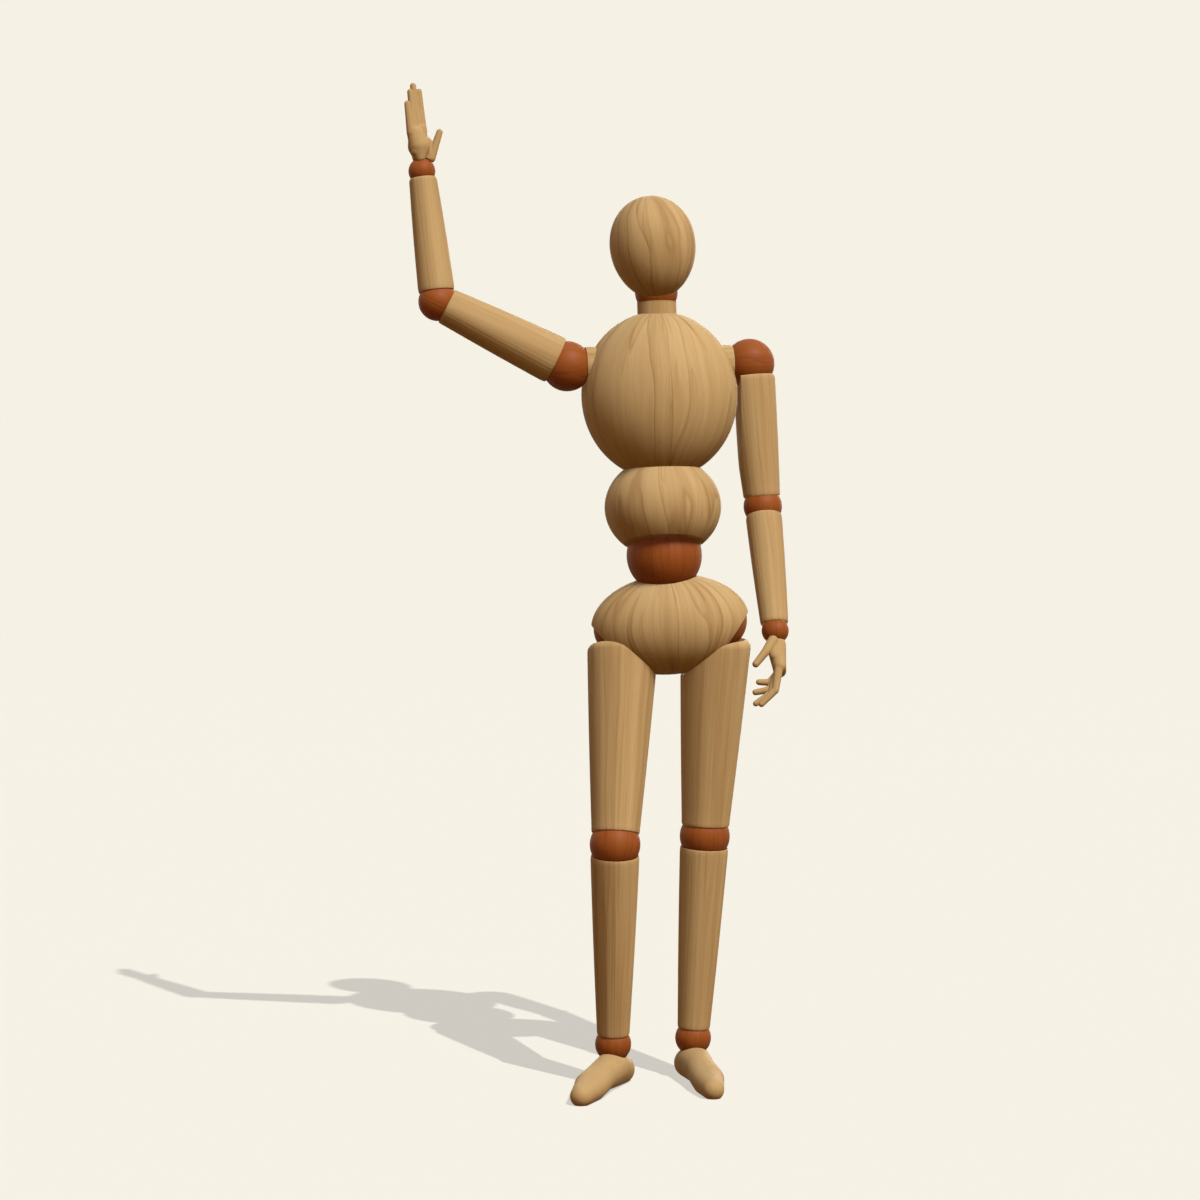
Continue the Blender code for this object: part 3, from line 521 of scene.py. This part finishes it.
def wood(name, pale, line_colour, figure, run, sway, contrast, streaks, depth, rough, shine):
    """Streaked wood. The grain runs along Z of each piece, with darker growth lines across it."""
    shade = Shader(bpy.data.materials.new(name))
    grain = shade.add("ShaderNodeAttribute", attribute_name="grain").outputs["Vector"]
    bent = shade.swayed(grain, SLOW_SWAY, sway)
    bent = shade.swayed(bent, QUICK_SWAY, QUICK_SHARE * sway)
    growth = shade.noise(bent, (figure, figure, run), 1.0).outputs["Fac"]
    lines = shade.ramp(shade.calc(shade.times(growth, GROWTH_RINGS), 0.0, "FRACT"), GROWTH_LINE)
    across = THIN_FIGURE * figure
    thin = shade.noise(bent, (across, across, THIN_RUN * run), 1.0).outputs["Fac"]
    hairs = shade.ramp(shade.calc(shade.times(thin, THIN_RINGS), 0.0, "FRACT"), THIN_LINE)
    lines = shade.calc(lines, hairs)
    fine = shade.noise(bent, FINE_STREAK, 3.0, 0.65).outputs["Fac"]
    broad = shade.noise(bent, BROAD_STREAK, 2.0).outputs["Fac"]
    pores = shade.ramp(shade.noise(bent, PORE, 1.0).outputs["Fac"], PORE_MARK)
    both = shade.calc(shade.calc(fine, broad), 1.0, "SUBTRACT")
    tone = shade.calc(shade.times(lines, contrast), shade.times(both, streaks))
    tone = shade.calc(tone, shade.times(pores, PORE_TONE))
    tone = shade.calc(tone, depth, clamp=True)
    shade.put(shade.skin.inputs["Base Color"], shade.blend(tone, pale, line_colour))
    shade.put(shade.skin.inputs["Roughness"], shade.calc(shade.times(fine, ROUGH_SPREAD), rough))
    shade.skin.inputs["Specular IOR Level"].default_value = shine
    height = shade.calc(shade.times(lines, LINE_HEIGHT), shade.times(fine, STREAK_HEIGHT))
    height = shade.calc(height, shade.times(pores, PORE_HEIGHT))
    bump = shade.add("ShaderNodeBump", {"Strength": BUMP_STRENGTH, "Distance": BUMP_DEPTH,
                                        "Height": height})
    shade.put(shade.skin.inputs["Normal"], bump.outputs[0])
    return shade.owner


def wire_steel(name, rgb):
    """Drawn steel, dulled unevenly."""
    shade = Shader(bpy.data.materials.new(name))
    place = shade.add("ShaderNodeTexCoord").outputs["Object"]
    drawn = shade.noise(place, DRAWN_SCALE, 3.0).outputs["Fac"]
    dark = tuple(DRAWN_DARK * value for value in rgb)
    shade.put(shade.skin.inputs["Base Color"], shade.blend(drawn, rgb, dark))
    shade.put(shade.skin.inputs["Roughness"], shade.calc(shade.times(drawn, STEEL_SPREAD), STEEL_ROUGH))
    shade.skin.inputs["Metallic"].default_value = 1.0
    return shade.owner


def finish_of(kind):
    """The finishes are made once and shared."""
    found = bpy.data.materials.get(kind)
    if found:
        return found
    tint = bpy.context.scene.mannequin_finish
    if kind == "spring_wire":
        return wire_steel(kind, tint.steel)
    colours = (tint.red, tint.red_line) if kind == "stained_wood" else (tint.pale, tint.pale_line)
    return wood(kind, *colours, **WOODS[kind])


# Pieces


class MannequinPiece:
    """What the operators share."""

    bl_options = {"REGISTER", "UNDO"}

    def execute(self, context):
        self.make(context.scene.mannequin_sizes)
        return {"FINISHED"}


class MANNEQUIN_OT_head(MannequinPiece, bpy.types.Operator):
    """Turn the egg-shaped head and hollow it behind the chin for the neck ball"""

    bl_idname = "mannequin.head"
    bl_label = "Head"

    def make(self, size):
        wide, tall = size.head
        points = []
        for i in range(PROFILE + 1):
            h = -cos(pi * i / PROFILE)
            r = wide * sin(pi * i / PROFILE) * (1 + EGG * h) if 0 < i < PROFILE else 0.0
            points.append((r, size.head_rise + tall * h))
        block = turned("head_wood", points, steps=FINE_STEPS)
        take(block)
        bpy.ops.transform.translate(value=(0, -size.head_fore, 0))
        bpy.ops.object.transform_apply(location=True, rotation=False, scale=False)
        cut(block, ball("head_cup", size.nape + size.gap, 72, 36))
        cut(block, rod("head_bore", HEAD_BORE, 0.0, HEAD_BORE_DEPTH))
        dressed(block, "head", finish_of("torso_wood"), middle=-size.head_fore)


class MANNEQUIN_OT_neck(MannequinPiece, bpy.types.Operator):
    """Turn the short neck that carries the neck ball"""

    bl_idname = "mannequin.neck"
    bl_label = "Neck"

    def make(self, size):
        rise = neck_rise()
        foot = rise - size.neck_length
        top = [(r, rise + z) for r, z in cup(size.nape + size.gap, SPINE_BORE, NECK_RIM)]
        points = top + rounded(top[-1][0], size.neck, top[-1][1], NECK_EDGE, 5)
        points += [(size.neck, rise - NECK_MID), (size.neck, foot), (SPINE_BORE, foot)]
        dressed(turned("neck_wood", points, True), "neck", finish_of("limb_wood"))


class MANNEQUIN_OT_chest(MannequinPiece, bpy.types.Operator):
    """Turn the chest, flatten it front to back and bore it for the neck and the pegs"""

    bl_idname = "mannequin.chest"
    bl_label = "Chest"

    def make(self, size):
        wide, deep, tall = size.chest
        low = size.seam + size.gap / 2
        drop = (low - size.chest_rise) / tall
        start = pi - asin(sqrt(1 - drop * drop))
        points = [(0, low)] + [(wide * sin(a), size.chest_rise + tall * cos(a))
                               for a in (start * (1 - i / CHEST_RINGS) for i in range(CHEST_RINGS + 1))]
        points[-1] = (0, points[-1][1])
        block = turned("chest_wood", points, steps=CHEST_STEPS)
        take(block)
        bpy.ops.transform.resize(value=(1, deep / wide, 1), center_override=(0, 0, 0))
        bpy.ops.object.transform_apply(location=False, rotation=False, scale=True)
        foot = neck_rise() - size.neck_length - size.gap
        cut(block, rod("neck_seat", size.neck + size.gap, foot, foot + THROUGH))
        cut(block, rod("spine_hole", SPINE_BORE, 0.0, foot + SPINE_REACH, 32))
        for side in SIDES:
            place = FRAMES["chest"].inverted() @ FRAMES[side + "_shoulder_ball"]
            depth = shoulder_out(side) - PEG_IN
            cut(block, rod("peg_seat", size.peg + SNUG, 0.0, depth + SNUG), place)
            cut(block, ball("ball_room", size.shoulder + 2 * size.gap), place)
        dressed(block, "chest", finish_of("torso_wood"))


class MANNEQUIN_OT_abdomen(MannequinPiece, bpy.types.Operator):
    """Turn the abdomen with its cup for the waist ball and trim its lower edge up in front"""

    bl_idname = "mannequin.abdomen"
    bl_label = "Abdomen"

    def make(self, size):
        wide, tall = size.abdomen
        hollow = [(r, -z) for r, z in cup(size.waist + size.gap, WAIST_CUP_MOUTH, WAIST_RIM, 24)]
        top = size.seam - size.gap / 2
        points = hollow[::-1] + [(SPINE_BORE, hollow[0][1] + WAIST_FUNNEL), (SPINE_BORE, top)]
        for i in range(ABDOMEN_RINGS + 1):
            h = top + (hollow[-1][1] - top) * i / ABDOMEN_RINGS
            points.append((wide * sqrt(1 - ((h - size.abdomen_rise) / tall) ** 2), h))
        block = turned("abdomen_wood", points, True, FINE_STEPS)
        cut(block, rod("scoop", TOOL, -TOOL, 0.0), shift(z=size.trim) @ rot("X", TRIM_TURN))
        dressed(block, "abdomen", finish_of("torso_wood"))


class MANNEQUIN_OT_pelvis(MannequinPiece, bpy.types.Operator):
    """Turn the pelvis about the hip line and cut its cups, facets and hook slots"""

    bl_idname = "mannequin.pelvis"
    bl_label = "Pelvis"

    def make(self, size):
        wide, radius = size.pelvis
        points = arc(radius, 0, pi, PROFILE, 0, wide / radius)
        block = turned("pelvis_wood", points, steps=FINE_STEPS)
        take(block)
        block.matrix_world = rot("Y", 90)
        bpy.ops.object.transform_apply(location=False, rotation=True, scale=False)
        inverse = FRAMES["pelvis"].inverted()
        waist = (inverse @ FRAMES["waist_ball"]).translation
        cut(block, ball("waist_seat", size.waist + size.gap, 72, 36), Matrix.Translation(waist))
        turns = [radians(HOOK_BACK + (HOOK_FRONT - HOOK_BACK) * i / 10) for i in range(11)]
        fan = [(0, 0)] + [(-HOOK_REACH * sin(a), -HOOK_REACH * cos(a)) for a in turns]
        for side, s in SIDES.items():
            hip = Matrix.Translation((inverse @ FRAMES[side + "_hip_ball"]).translation)
            cut(block, ball("hip_seat", size.hip + size.gap, 64, 32), hip @ rot("Y", 90))
            cut(block, plate("hook_slot", fan, HOOK_HALF), shift(x=s * HOOK_OUT))
            cut(block, rod("facet", TOOL, size.facet_drop, TOOL), hip @ rot("Y", s * FACET_TURN))
        cut(block, rod("eye_hole", EYE_HOLE, EYE_LOW, EYE_HIGH, BORE_STEPS))
        dressed(block, "pelvis", finish_of("torso_wood"))


class MANNEQUIN_OT_pegs(MannequinPiece, bpy.types.Operator):
    """Turn the pegs that carry the shoulder balls"""

    bl_idname = "mannequin.pegs"
    bl_label = "Shoulder pegs"

    def make(self, size):
        reach = size.shoulder + size.gap
        for side in SIDES:
            out = shoulder_out(side)
            rim = asin(size.peg / reach) - PEG_BACK
            peg = [(r, -z) for r, z in cup(reach, PEG_BORE, rim)]
            peg += [(size.peg, peg[-1][1] + PEG_LIP), (size.peg, out - PEG_MID),
                    (size.peg, out - PEG_IN), (PEG_BORE, out - PEG_IN)]
            dressed(turned(side + "_shoulder_peg_wood", peg, True), side + "_shoulder_peg",
                    finish_of("limb_wood"))


LIMBS = (("upper_arm", "shoulder", "elbow", 0.0028), ("forearm", "elbow", "wrist", 0.0023),
         ("shin", "knee", "ankle", 0.0028))


class MANNEQUIN_OT_limbs(MannequinPiece, bpy.types.Operator):
    """Turn the upper arms, forearms and shins, each with a cup at both ends"""

    bl_idname = "mannequin.limbs"
    bl_label = "Arms and shins"

    def make(self, size):
        for side in SIDES:
            for limb, upper, lower, bore in LIMBS:
                node = f"{side}_{limb}"
                top_r, low_r = getattr(size, limb)
                upper_r, lower_r = getattr(size, upper), getattr(size, lower)
                most = KNEE_RIM if upper == "knee" else RIM
                top = cup(upper_r + size.gap, bore, rim_of(upper_r, top_r, most))
                low = cup(lower_r + size.gap, bore, rim_of(lower_r, low_r, RIM))
                low = [(r, -span(side, upper, lower) - z) for r, z in low]
                crown = rounded(top[-1][0], top_r, top[-1][1], size.corner)
                base = rounded(low[-1][0], low_r, low[-1][1], -size.corner)[::-1]
                points = top + crown + tapered(crown[-1], base[0]) + base + low[::-1]
                piece = turned(node + "_wood", points, True)
                if node == "left_upper_arm":
                    # A flat planed on the inner side lets the hanging arm pass the chest
                    inner = shoulder_out(side) - size.chest[0] - SHAVE
                    plane = rod("plane", THROUGH, inner, THROUGH)
                    cut(piece, plane, FRAMES[node].inverted() @ FRAMES["left_shoulder_ball"])
                dressed(piece, node, finish_of("limb_wood"))


class MANNEQUIN_OT_thighs(MannequinPiece, bpy.types.Operator):
    """Turn the thighs and scoop their tops to swing round the pelvis"""

    bl_idname = "mannequin.thighs"
    bl_label = "Thighs"

    def make(self, size):
        for side in SIDES:
            node = side + "_thigh"
            top_r, low_r = size.thigh
            low = cup(size.knee + size.gap, THIGH_BORE, rim_of(size.knee, low_r, KNEE_RIM))
            low = [(r, -span(side, "hip", "knee") - z) for r, z in low]
            edge = top_r - THIGH_EDGE
            crown = rounded(edge, top_r, -size.thigh_top, THIGH_CROWN)
            base = rounded(low[-1][0], low_r, low[-1][1], -size.corner)[::-1]
            points = [(THIGH_BORE, -size.thigh_top), (edge, -size.thigh_top)] + crown
            points += tapered(crown[-1], base[0], 14) + base + low[::-1]
            piece = turned(node + "_wood", points, True)
            wide, radius = (value + 2 * size.gap for value in size.pelvis)
            scoop = turned("scoop", arc(radius, 0, pi, PROFILE, 0, wide / radius), steps=FINE_STEPS)
            cut(piece, scoop, FRAMES[node].inverted() @ FRAMES["pelvis"] @ rot("Y", 90))
            dressed(piece, node, finish_of("limb_wood"))


class MANNEQUIN_OT_balls(MannequinPiece, bpy.types.Operator):
    """Turn the red-stained balls, bored for their pins and slotted for the next piece's hook"""

    bl_idname = "mannequin.balls"
    bl_label = "Balls"

    # Ball, the hinge below it, the piece that hangs there and the ball that sets its wire
    joints = (("shoulder", "shoulder_raise", "upper_arm", "shoulder"),
              ("elbow", "elbow_bend", "forearm", "wrist"), ("wrist", "wrist_bend", "hand", "wrist"),
              ("hip", "hip_abduct", "thigh", "hip"), ("knee", "knee_bend", "shin", "knee"),
              ("ankle", "ankle_pitch", "foot", "ankle"))

    def make(self, size):
        for side in SIDES:
            for joint in self.joints:
                self.slotted(size, side, *joint)
        for name, radius, mouth in (("waist_ball", size.waist, WAIST_MOUTH),
                                    ("neck_ball", size.nape, NAPE_MOUTH)):
            start = asin(mouth / radius)
            points = [(SPINE_BORE, 0)] + arc(radius, start, pi - start, BALL_RINGS)
            dressed(turned(name + "_wood", points, True, FINE_STEPS), name, finish_of("stained_wood"))

    def slotted(self, size, side, name, hinge, below, wire):
        radius, node = getattr(size, name), f"{side}_{name}_ball"
        pin, ring = PIN_SHARE * radius, RING_SHARE * radius
        half = min(FINE_WIRE, PIN_SHARE * getattr(size, wire)) + size.gap
        hole, floor = ring + pin + size.gap, -pin - size.gap
        points = [(0, floor), (hole, floor)] + arc(radius, asin(hole / radius), pi, BALL_RINGS)
        piece = turned(node + "_wood", points)
        disc, reach = EYE_SHARE * ring - pin, SLOT_SHARE * radius
        rest = self.bend(FRAMES[node], FRAMES[f"{side}_{below}"])
        margin = asin(half / disc)
        low, high = (radians(rest + value) for value in JOINTS[f"{side}_{hinge}"]["range_deg"])
        low, high = low - margin, high + margin
        outline = []
        for i in range(13):
            a = low + (high - low) * i / 12
            outline.append((reach * sin(a), -reach * cos(a)))
        for i in range(21):
            a = high + (2 * pi - (high - low)) * i / 20
            outline.append((disc * sin(a), -disc * cos(a)))
        cut(piece, plate("slot", outline, half))
        dressed(piece, node, finish_of("stained_wood"))

    def bend(self, above, below):
        """Angle of the next piece about the ball, from straight out, in degrees."""
        way = above.to_3x3().inverted() @ -below.col[2].to_3d()
        return degrees(atan2(way.y, -way.z))


class MANNEQUIN_OT_hands(MannequinPiece, bpy.types.Operator):
    """Carve the raised flat hand and the relaxed hanging hand"""

    bl_idname = "mannequin.hands"
    bl_label = "Hands"

    def make(self, size):
        for side, s in SIDES.items():
            bars = self.raised(-s) if side == "right" else self.relaxed(-s)
            piece = carved(side + "_hand_wood", bars, HAND_GRIT, HAND_ROUNDS)
            cut(piece, ball("hand_cup", size.wrist + size.gap))
            hole = rod("hand_hole", HAND_WIRE + SNUG, HAND_HOLE_LOW, HAND_HOLE_HIGH, BORE_STEPS)
            cut(piece, hole)
            dressed(piece, side + "_hand", finish_of("carved_wood"), CARVED_EDGE, False)

    def raised(self, t):
        """Palm, thumb pad, little-finger side and heel of the hand, then fingers and thumb."""
        bars = [[(0.3 * t, -0.1, -4.7, 2.7), (-2.9 * t, 0, -13.4, 1.8), (2.7 * t, 0.2, -14.6, 1.7)],
                [(1.6 * t, 1.0, -6.0, 1.9), (2.7 * t, 1.4, -9.6, 1.8)],
                [(-2.0 * t, 0.4, -6.4, 2.4), (-3.0 * t, 0.1, -13.0, 1.9)],
                [(-1.7 * t, 1.0, -4.2, 1.8), (-1.0 * t, 0.6, -8.0, 3.6)],
                [(-1.0 * t, 0.6, -8.0, 3.6), (-1.5 * t, 0.5, -12.2, 2.5)]]
        for x, y, mid, tip in ((-3.6, -0.2, -18.0, -22.2), (-1.3, 0.0, -20.6, -26.3),
                               (1.0, -0.1, -21.4, -28.6), (3.2, 0.5, -20.4, -26.8)):
            bend = (x * t, 0.6 * y, mid, 1.2)
            bars += [[(0.92 * x * t, 0, -12.4, 1.7), bend], [bend, (x * t, y, tip, 1.0)]]
        bars.append([(3.0 * t, 2.2, -4.2, 1.5), (5.2 * t, 5.3, -12.5, 1.05)])
        return bars

    def relaxed(self, t):
        """Palm and thumb pad, then the curled fingers and the bent thumb."""
        bars = [[(0, -0.2, -5.0, 3.2), (-2.6 * t, -1.2, -13.0, 2.1), (2.6 * t, -1.2, -13.0, 2.1)],
                [(2.2 * t, 0.6, -5.4, 1.9), (2.6 * t, 0.4, -9.4, 1.8)]]
        for x, y, mid, out, tip in ((-3.7, 2.2, -16.4, 5.7, -16.2), (-1.4, 2.3, -19.6, 6.9, -20.4),
                                    (1.0, 1.9, -21.8, 6.8, -25.0), (3.3, 0.4, -21.4, 5.0, -26.0)):
            bend = (x * t, y, mid, 1.2)
            bars += [[(0.92 * x * t, -1.0, -13.0, 1.5), bend], [bend, (x * t, out, tip, 1.0)]]
        bend = (4.4 * t, 3.2, -8.6, 1.4)
        bars += [[(3.0 * t, 0.8, -4.4, 1.7), bend], [bend, (4.9 * t, 6.5, -12.9, 1.15)]]
        return bars


class MANNEQUIN_OT_feet(MannequinPiece, bpy.types.Operator):
    """Carve the feet and plane their soles on the floor"""

    bl_idname = "mannequin.feet"
    bl_label = "Feet"

    def make(self, size):
        heel, block, arch, tread, ball_side, toe = 5.0, 5.6, 5.0, 4.6, 4.2, 3.6
        for side, s in SIDES.items():
            inner = (-0.6 * s, -27, -10.2, ball_side)
            bars = [[(0, 8.0, -9.6, heel), (0, -1.0, -7.6, block), (0.2 * s, -14, -8.4, arch)],
                    [(0.2 * s, -13, -8.4, arch), (1.4 * s, -25, -9.8, tread), inner],
                    [(1.4 * s, -24, -9.8, tread), inner, (0, -38.5, -10.8, toe)]]
            piece = carved(side + "_foot_wood", bars, FOOT_GRIT, FOOT_ROUNDS)
            take(piece)
            bpy.ops.object.mode_set(mode="EDIT")
            bpy.ops.mesh.select_all(action="SELECT")
            bpy.ops.mesh.bisect(plane_co=(0, 0, -FRAMES[side + "_foot"].translation.z),
                                plane_no=(0, 0, 1), use_fill=True, clear_inner=True,
                                threshold=0.000001)
            bpy.ops.object.mode_set(mode="OBJECT")
            cut(piece, ball("foot_cup", size.ankle + size.gap))
            dressed(piece, side + "_foot", finish_of("carved_wood"), CARVED_EDGE, False)


class MANNEQUIN_OT_wires(MannequinPiece, bpy.types.Operator):
    """Give the hidden springs, pins and screw eyes their drawn steel"""

    bl_idname = "mannequin.wires"
    bl_label = "Springs and pins"

    def make(self, size):
        steel = finish_of("spring_wire")
        for name, node in frame["nodes"].items():
            if name.endswith(("_spring", "_pin", "_screw_eye")):
                node.data.materials.clear()
                node.data.materials.append(steel)


# Stage

KEY_SPREAD, FILL_SPREAD, SUN_SPREAD = 28.0, 40.0, 0.5
FILL_WAY = (0.15, 1.0, 0.12)
FLOOR_SIZE, FLOOR_NEAR, FLOOR_FAR, FLOOR_BOUNCE = 8.0, 0.9, 2.4, 0.5
SENSOR, CLIP_NEAR, CLIP_FAR = 36.0, 0.05, 50.0

# Pieces that throw no shadow on the rest of the figure
SHADELESS = tuple(piece + "_wood" for piece in (
    "head", "neck_ball", "left_shoulder_ball", "left_upper_arm", "left_elbow_ball", "left_forearm",
    "left_wrist_ball", "left_hand"))


class MANNEQUIN_OT_stage(bpy.types.Operator):
    """Lay the pale floor, set the lamps and place the camera"""

    bl_idname = "mannequin.stage"
    bl_label = "Stage"

    def execute(self, context):
        stage = context.scene.mannequin_stage
        self.floor(stage)
        self.world(context.scene, stage)
        self.lamp("figure_key", stage.key_light, stage.key, KEY_SPREAD, "EXCLUDE")
        self.lamp("back_fill", FILL_WAY, stage.fill, FILL_SPREAD, "EXCLUDE")
        self.lamp("floor_sun", stage.light, stage.sun, SUN_SPREAD, "INCLUDE")
        clear()
        bpy.ops.object.camera_add(location=stage.camera, rotation=(pi / 2 - stage.pitch, 0, 0))
        camera = named("front_camera")
        camera.data.lens, camera.data.sensor_width = stage.lens, SENSOR
        camera.data.clip_start, camera.data.clip_end = CLIP_NEAR, CLIP_FAR
        context.scene.camera = camera
        context.scene.view_settings.view_transform = "Standard"
        return {"FINISHED"}

    def lamp(self, name, way, strength, spread, floor_state):
        """A sun for the figure alone or for the floor alone, which keeps a crisp shadow."""
        clear()
        bpy.ops.object.light_add(type="SUN", location=way)
        lamp = named(name)
        lamp.rotation_euler = Vector(way).to_track_quat("Z", "Y").to_euler()
        lamp.data.energy, lamp.data.angle = strength, radians(spread)
        linking = lamp.light_linking
        linking.receiver_collection = self.group(name + "_receivers", ("pale_floor",), floor_state)
        if floor_state == "EXCLUDE":
            linking.blocker_collection = self.group(name + "_blockers", SHADELESS, "EXCLUDE")

    def group(self, name, members, state):
        """A collection that a lamp leaves out or keeps to."""
        made = bpy.data.collections.new(name)
        for member in members:
            made.objects.link(bpy.data.objects[member])
        for entry in made.collection_objects:
            entry.light_linking.link_state = state
        return made

    def floor(self, stage):
        """A floor that the camera sees pale, with the shadow on it, fading into the backdrop."""
        clear()
        bpy.ops.mesh.primitive_plane_add(size=FLOOR_SIZE)
        floor = named("pale_floor")
        shade = Shader(bpy.data.materials.new("pale_floor"))
        lit = shade.add("ShaderNodeBsdfDiffuse", {"Color": (*stage.floor_lit, 1.0)})
        glow = shade.add("ShaderNodeEmission", {"Color": (*stage.floor_glow, 1.0), "Strength": 1.0})
        both = shade.add("ShaderNodeAddShader", {0: lit.outputs[0], 1: glow.outputs[0]})
        dull = (*(FLOOR_BOUNCE * Vector(stage.backdrop)), 1.0)
        plain = shade.add("ShaderNodeBsdfDiffuse", {"Color": dull})
        straight = shade.add("ShaderNodeLightPath").outputs["Is Camera Ray"]
        near = shade.add("ShaderNodeMixShader", {0: straight, 1: plain.outputs[0],
                                                 2: both.outputs[0]})
        place = shade.add("ShaderNodeTexCoord").outputs["Object"]
        far = shade.add("ShaderNodeVectorMath", {0: place}, operation="LENGTH").outputs["Value"]
        fade = shade.add("ShaderNodeMapRange", {"Value": far, "From Min": FLOOR_NEAR,
                                                "From Max": FLOOR_FAR},
                         interpolation_type="SMOOTHSTEP").outputs[0]
        away = shade.add("ShaderNodeBsdfTransparent")
        mixed = shade.add("ShaderNodeMixShader", {0: fade, 1: near.outputs[0], 2: away.outputs[0]})
        shade.put(shade.tree.nodes["Material Output"].inputs["Surface"], mixed.outputs[0])
        shade.tree.nodes.remove(shade.skin)
        floor.data.materials.append(shade.owner)
        floor.visible_diffuse = False

    def world(self, scene, stage):
        """Soft light from above, from the sides and from below, behind the pale backdrop."""
        shade = Shader(bpy.data.worlds.new("soft_light"))
        scene.world = shade.owner
        way = shade.add("ShaderNodeTexCoord").outputs["Generated"]
        up = shade.add("ShaderNodeSeparateXYZ", {0: way}).outputs["Z"]
        level = shade.add("ShaderNodeMapRange", {"Value": up, "From Min": -1.0}).outputs[0]
        tone = shade.ramp(level, ((0.0, stage.ground), (0.5, stage.horizon), (1.0, stage.sky)))
        soft = shade.add("ShaderNodeBackground", {"Color": tone})
        back = shade.tree.nodes["Background"]
        back.inputs["Color"].default_value = (*stage.backdrop, 1.0)
        path = shade.add("ShaderNodeLightPath").outputs
        seen = shade.calc(path["Is Camera Ray"], path["Is Transmission Ray"], "MAXIMUM")
        seen = shade.calc(seen, path["Is Glossy Ray"], "MAXIMUM")
        mixed = shade.add("ShaderNodeMixShader", {0: seen, 1: soft.outputs[0], 2: back.outputs[0]})
        shade.put(shade.tree.nodes["World Output"].inputs["Surface"], mixed.outputs[0])


PIECES = (MANNEQUIN_OT_head, MANNEQUIN_OT_neck, MANNEQUIN_OT_chest, MANNEQUIN_OT_abdomen,
          MANNEQUIN_OT_pelvis, MANNEQUIN_OT_pegs, MANNEQUIN_OT_limbs, MANNEQUIN_OT_thighs,
          MANNEQUIN_OT_balls, MANNEQUIN_OT_hands, MANNEQUIN_OT_feet, MANNEQUIN_OT_wires,
          MANNEQUIN_OT_stage)


class VIEW3D_PT_mannequin(bpy.types.Panel):
    """Pieces and settings of the figure"""

    bl_idname = "VIEW3D_PT_mannequin"
    bl_label = "Drawing mannequin"
    bl_space_type = "VIEW_3D"
    bl_region_type = "UI"
    bl_category = "Mannequin"

    def draw(self, context):
        for operator in PIECES:
            self.layout.operator(operator.bl_idname)
        for group in (context.scene.mannequin_sizes, context.scene.mannequin_finish,
                      context.scene.mannequin_stage):
            column = self.layout.column()
            for key in group.__annotations__:
                column.prop(group, key)


CLASSES = (MannequinSizes, MannequinFinish, MannequinStage) + PIECES + (VIEW3D_PT_mannequin,)


def register():
    for cls in CLASSES:
        bpy.utils.register_class(cls)
    bpy.types.Scene.mannequin_sizes = PointerProperty(type=MannequinSizes)
    bpy.types.Scene.mannequin_finish = PointerProperty(type=MannequinFinish)
    bpy.types.Scene.mannequin_stage = PointerProperty(type=MannequinStage)


def unregister():
    del bpy.types.Scene.mannequin_stage
    del bpy.types.Scene.mannequin_finish
    del bpy.types.Scene.mannequin_sizes
    for cls in reversed(CLASSES):
        bpy.utils.unregister_class(cls)


def main():
    register()
    for operator in PIECES:
        group, name = operator.bl_idname.split(".")
        if getattr(getattr(bpy.ops, group), name)() != {"FINISHED"}:
            raise RuntimeError(operator.bl_label + " did not finish")


if __name__ == "__main__":
    main()
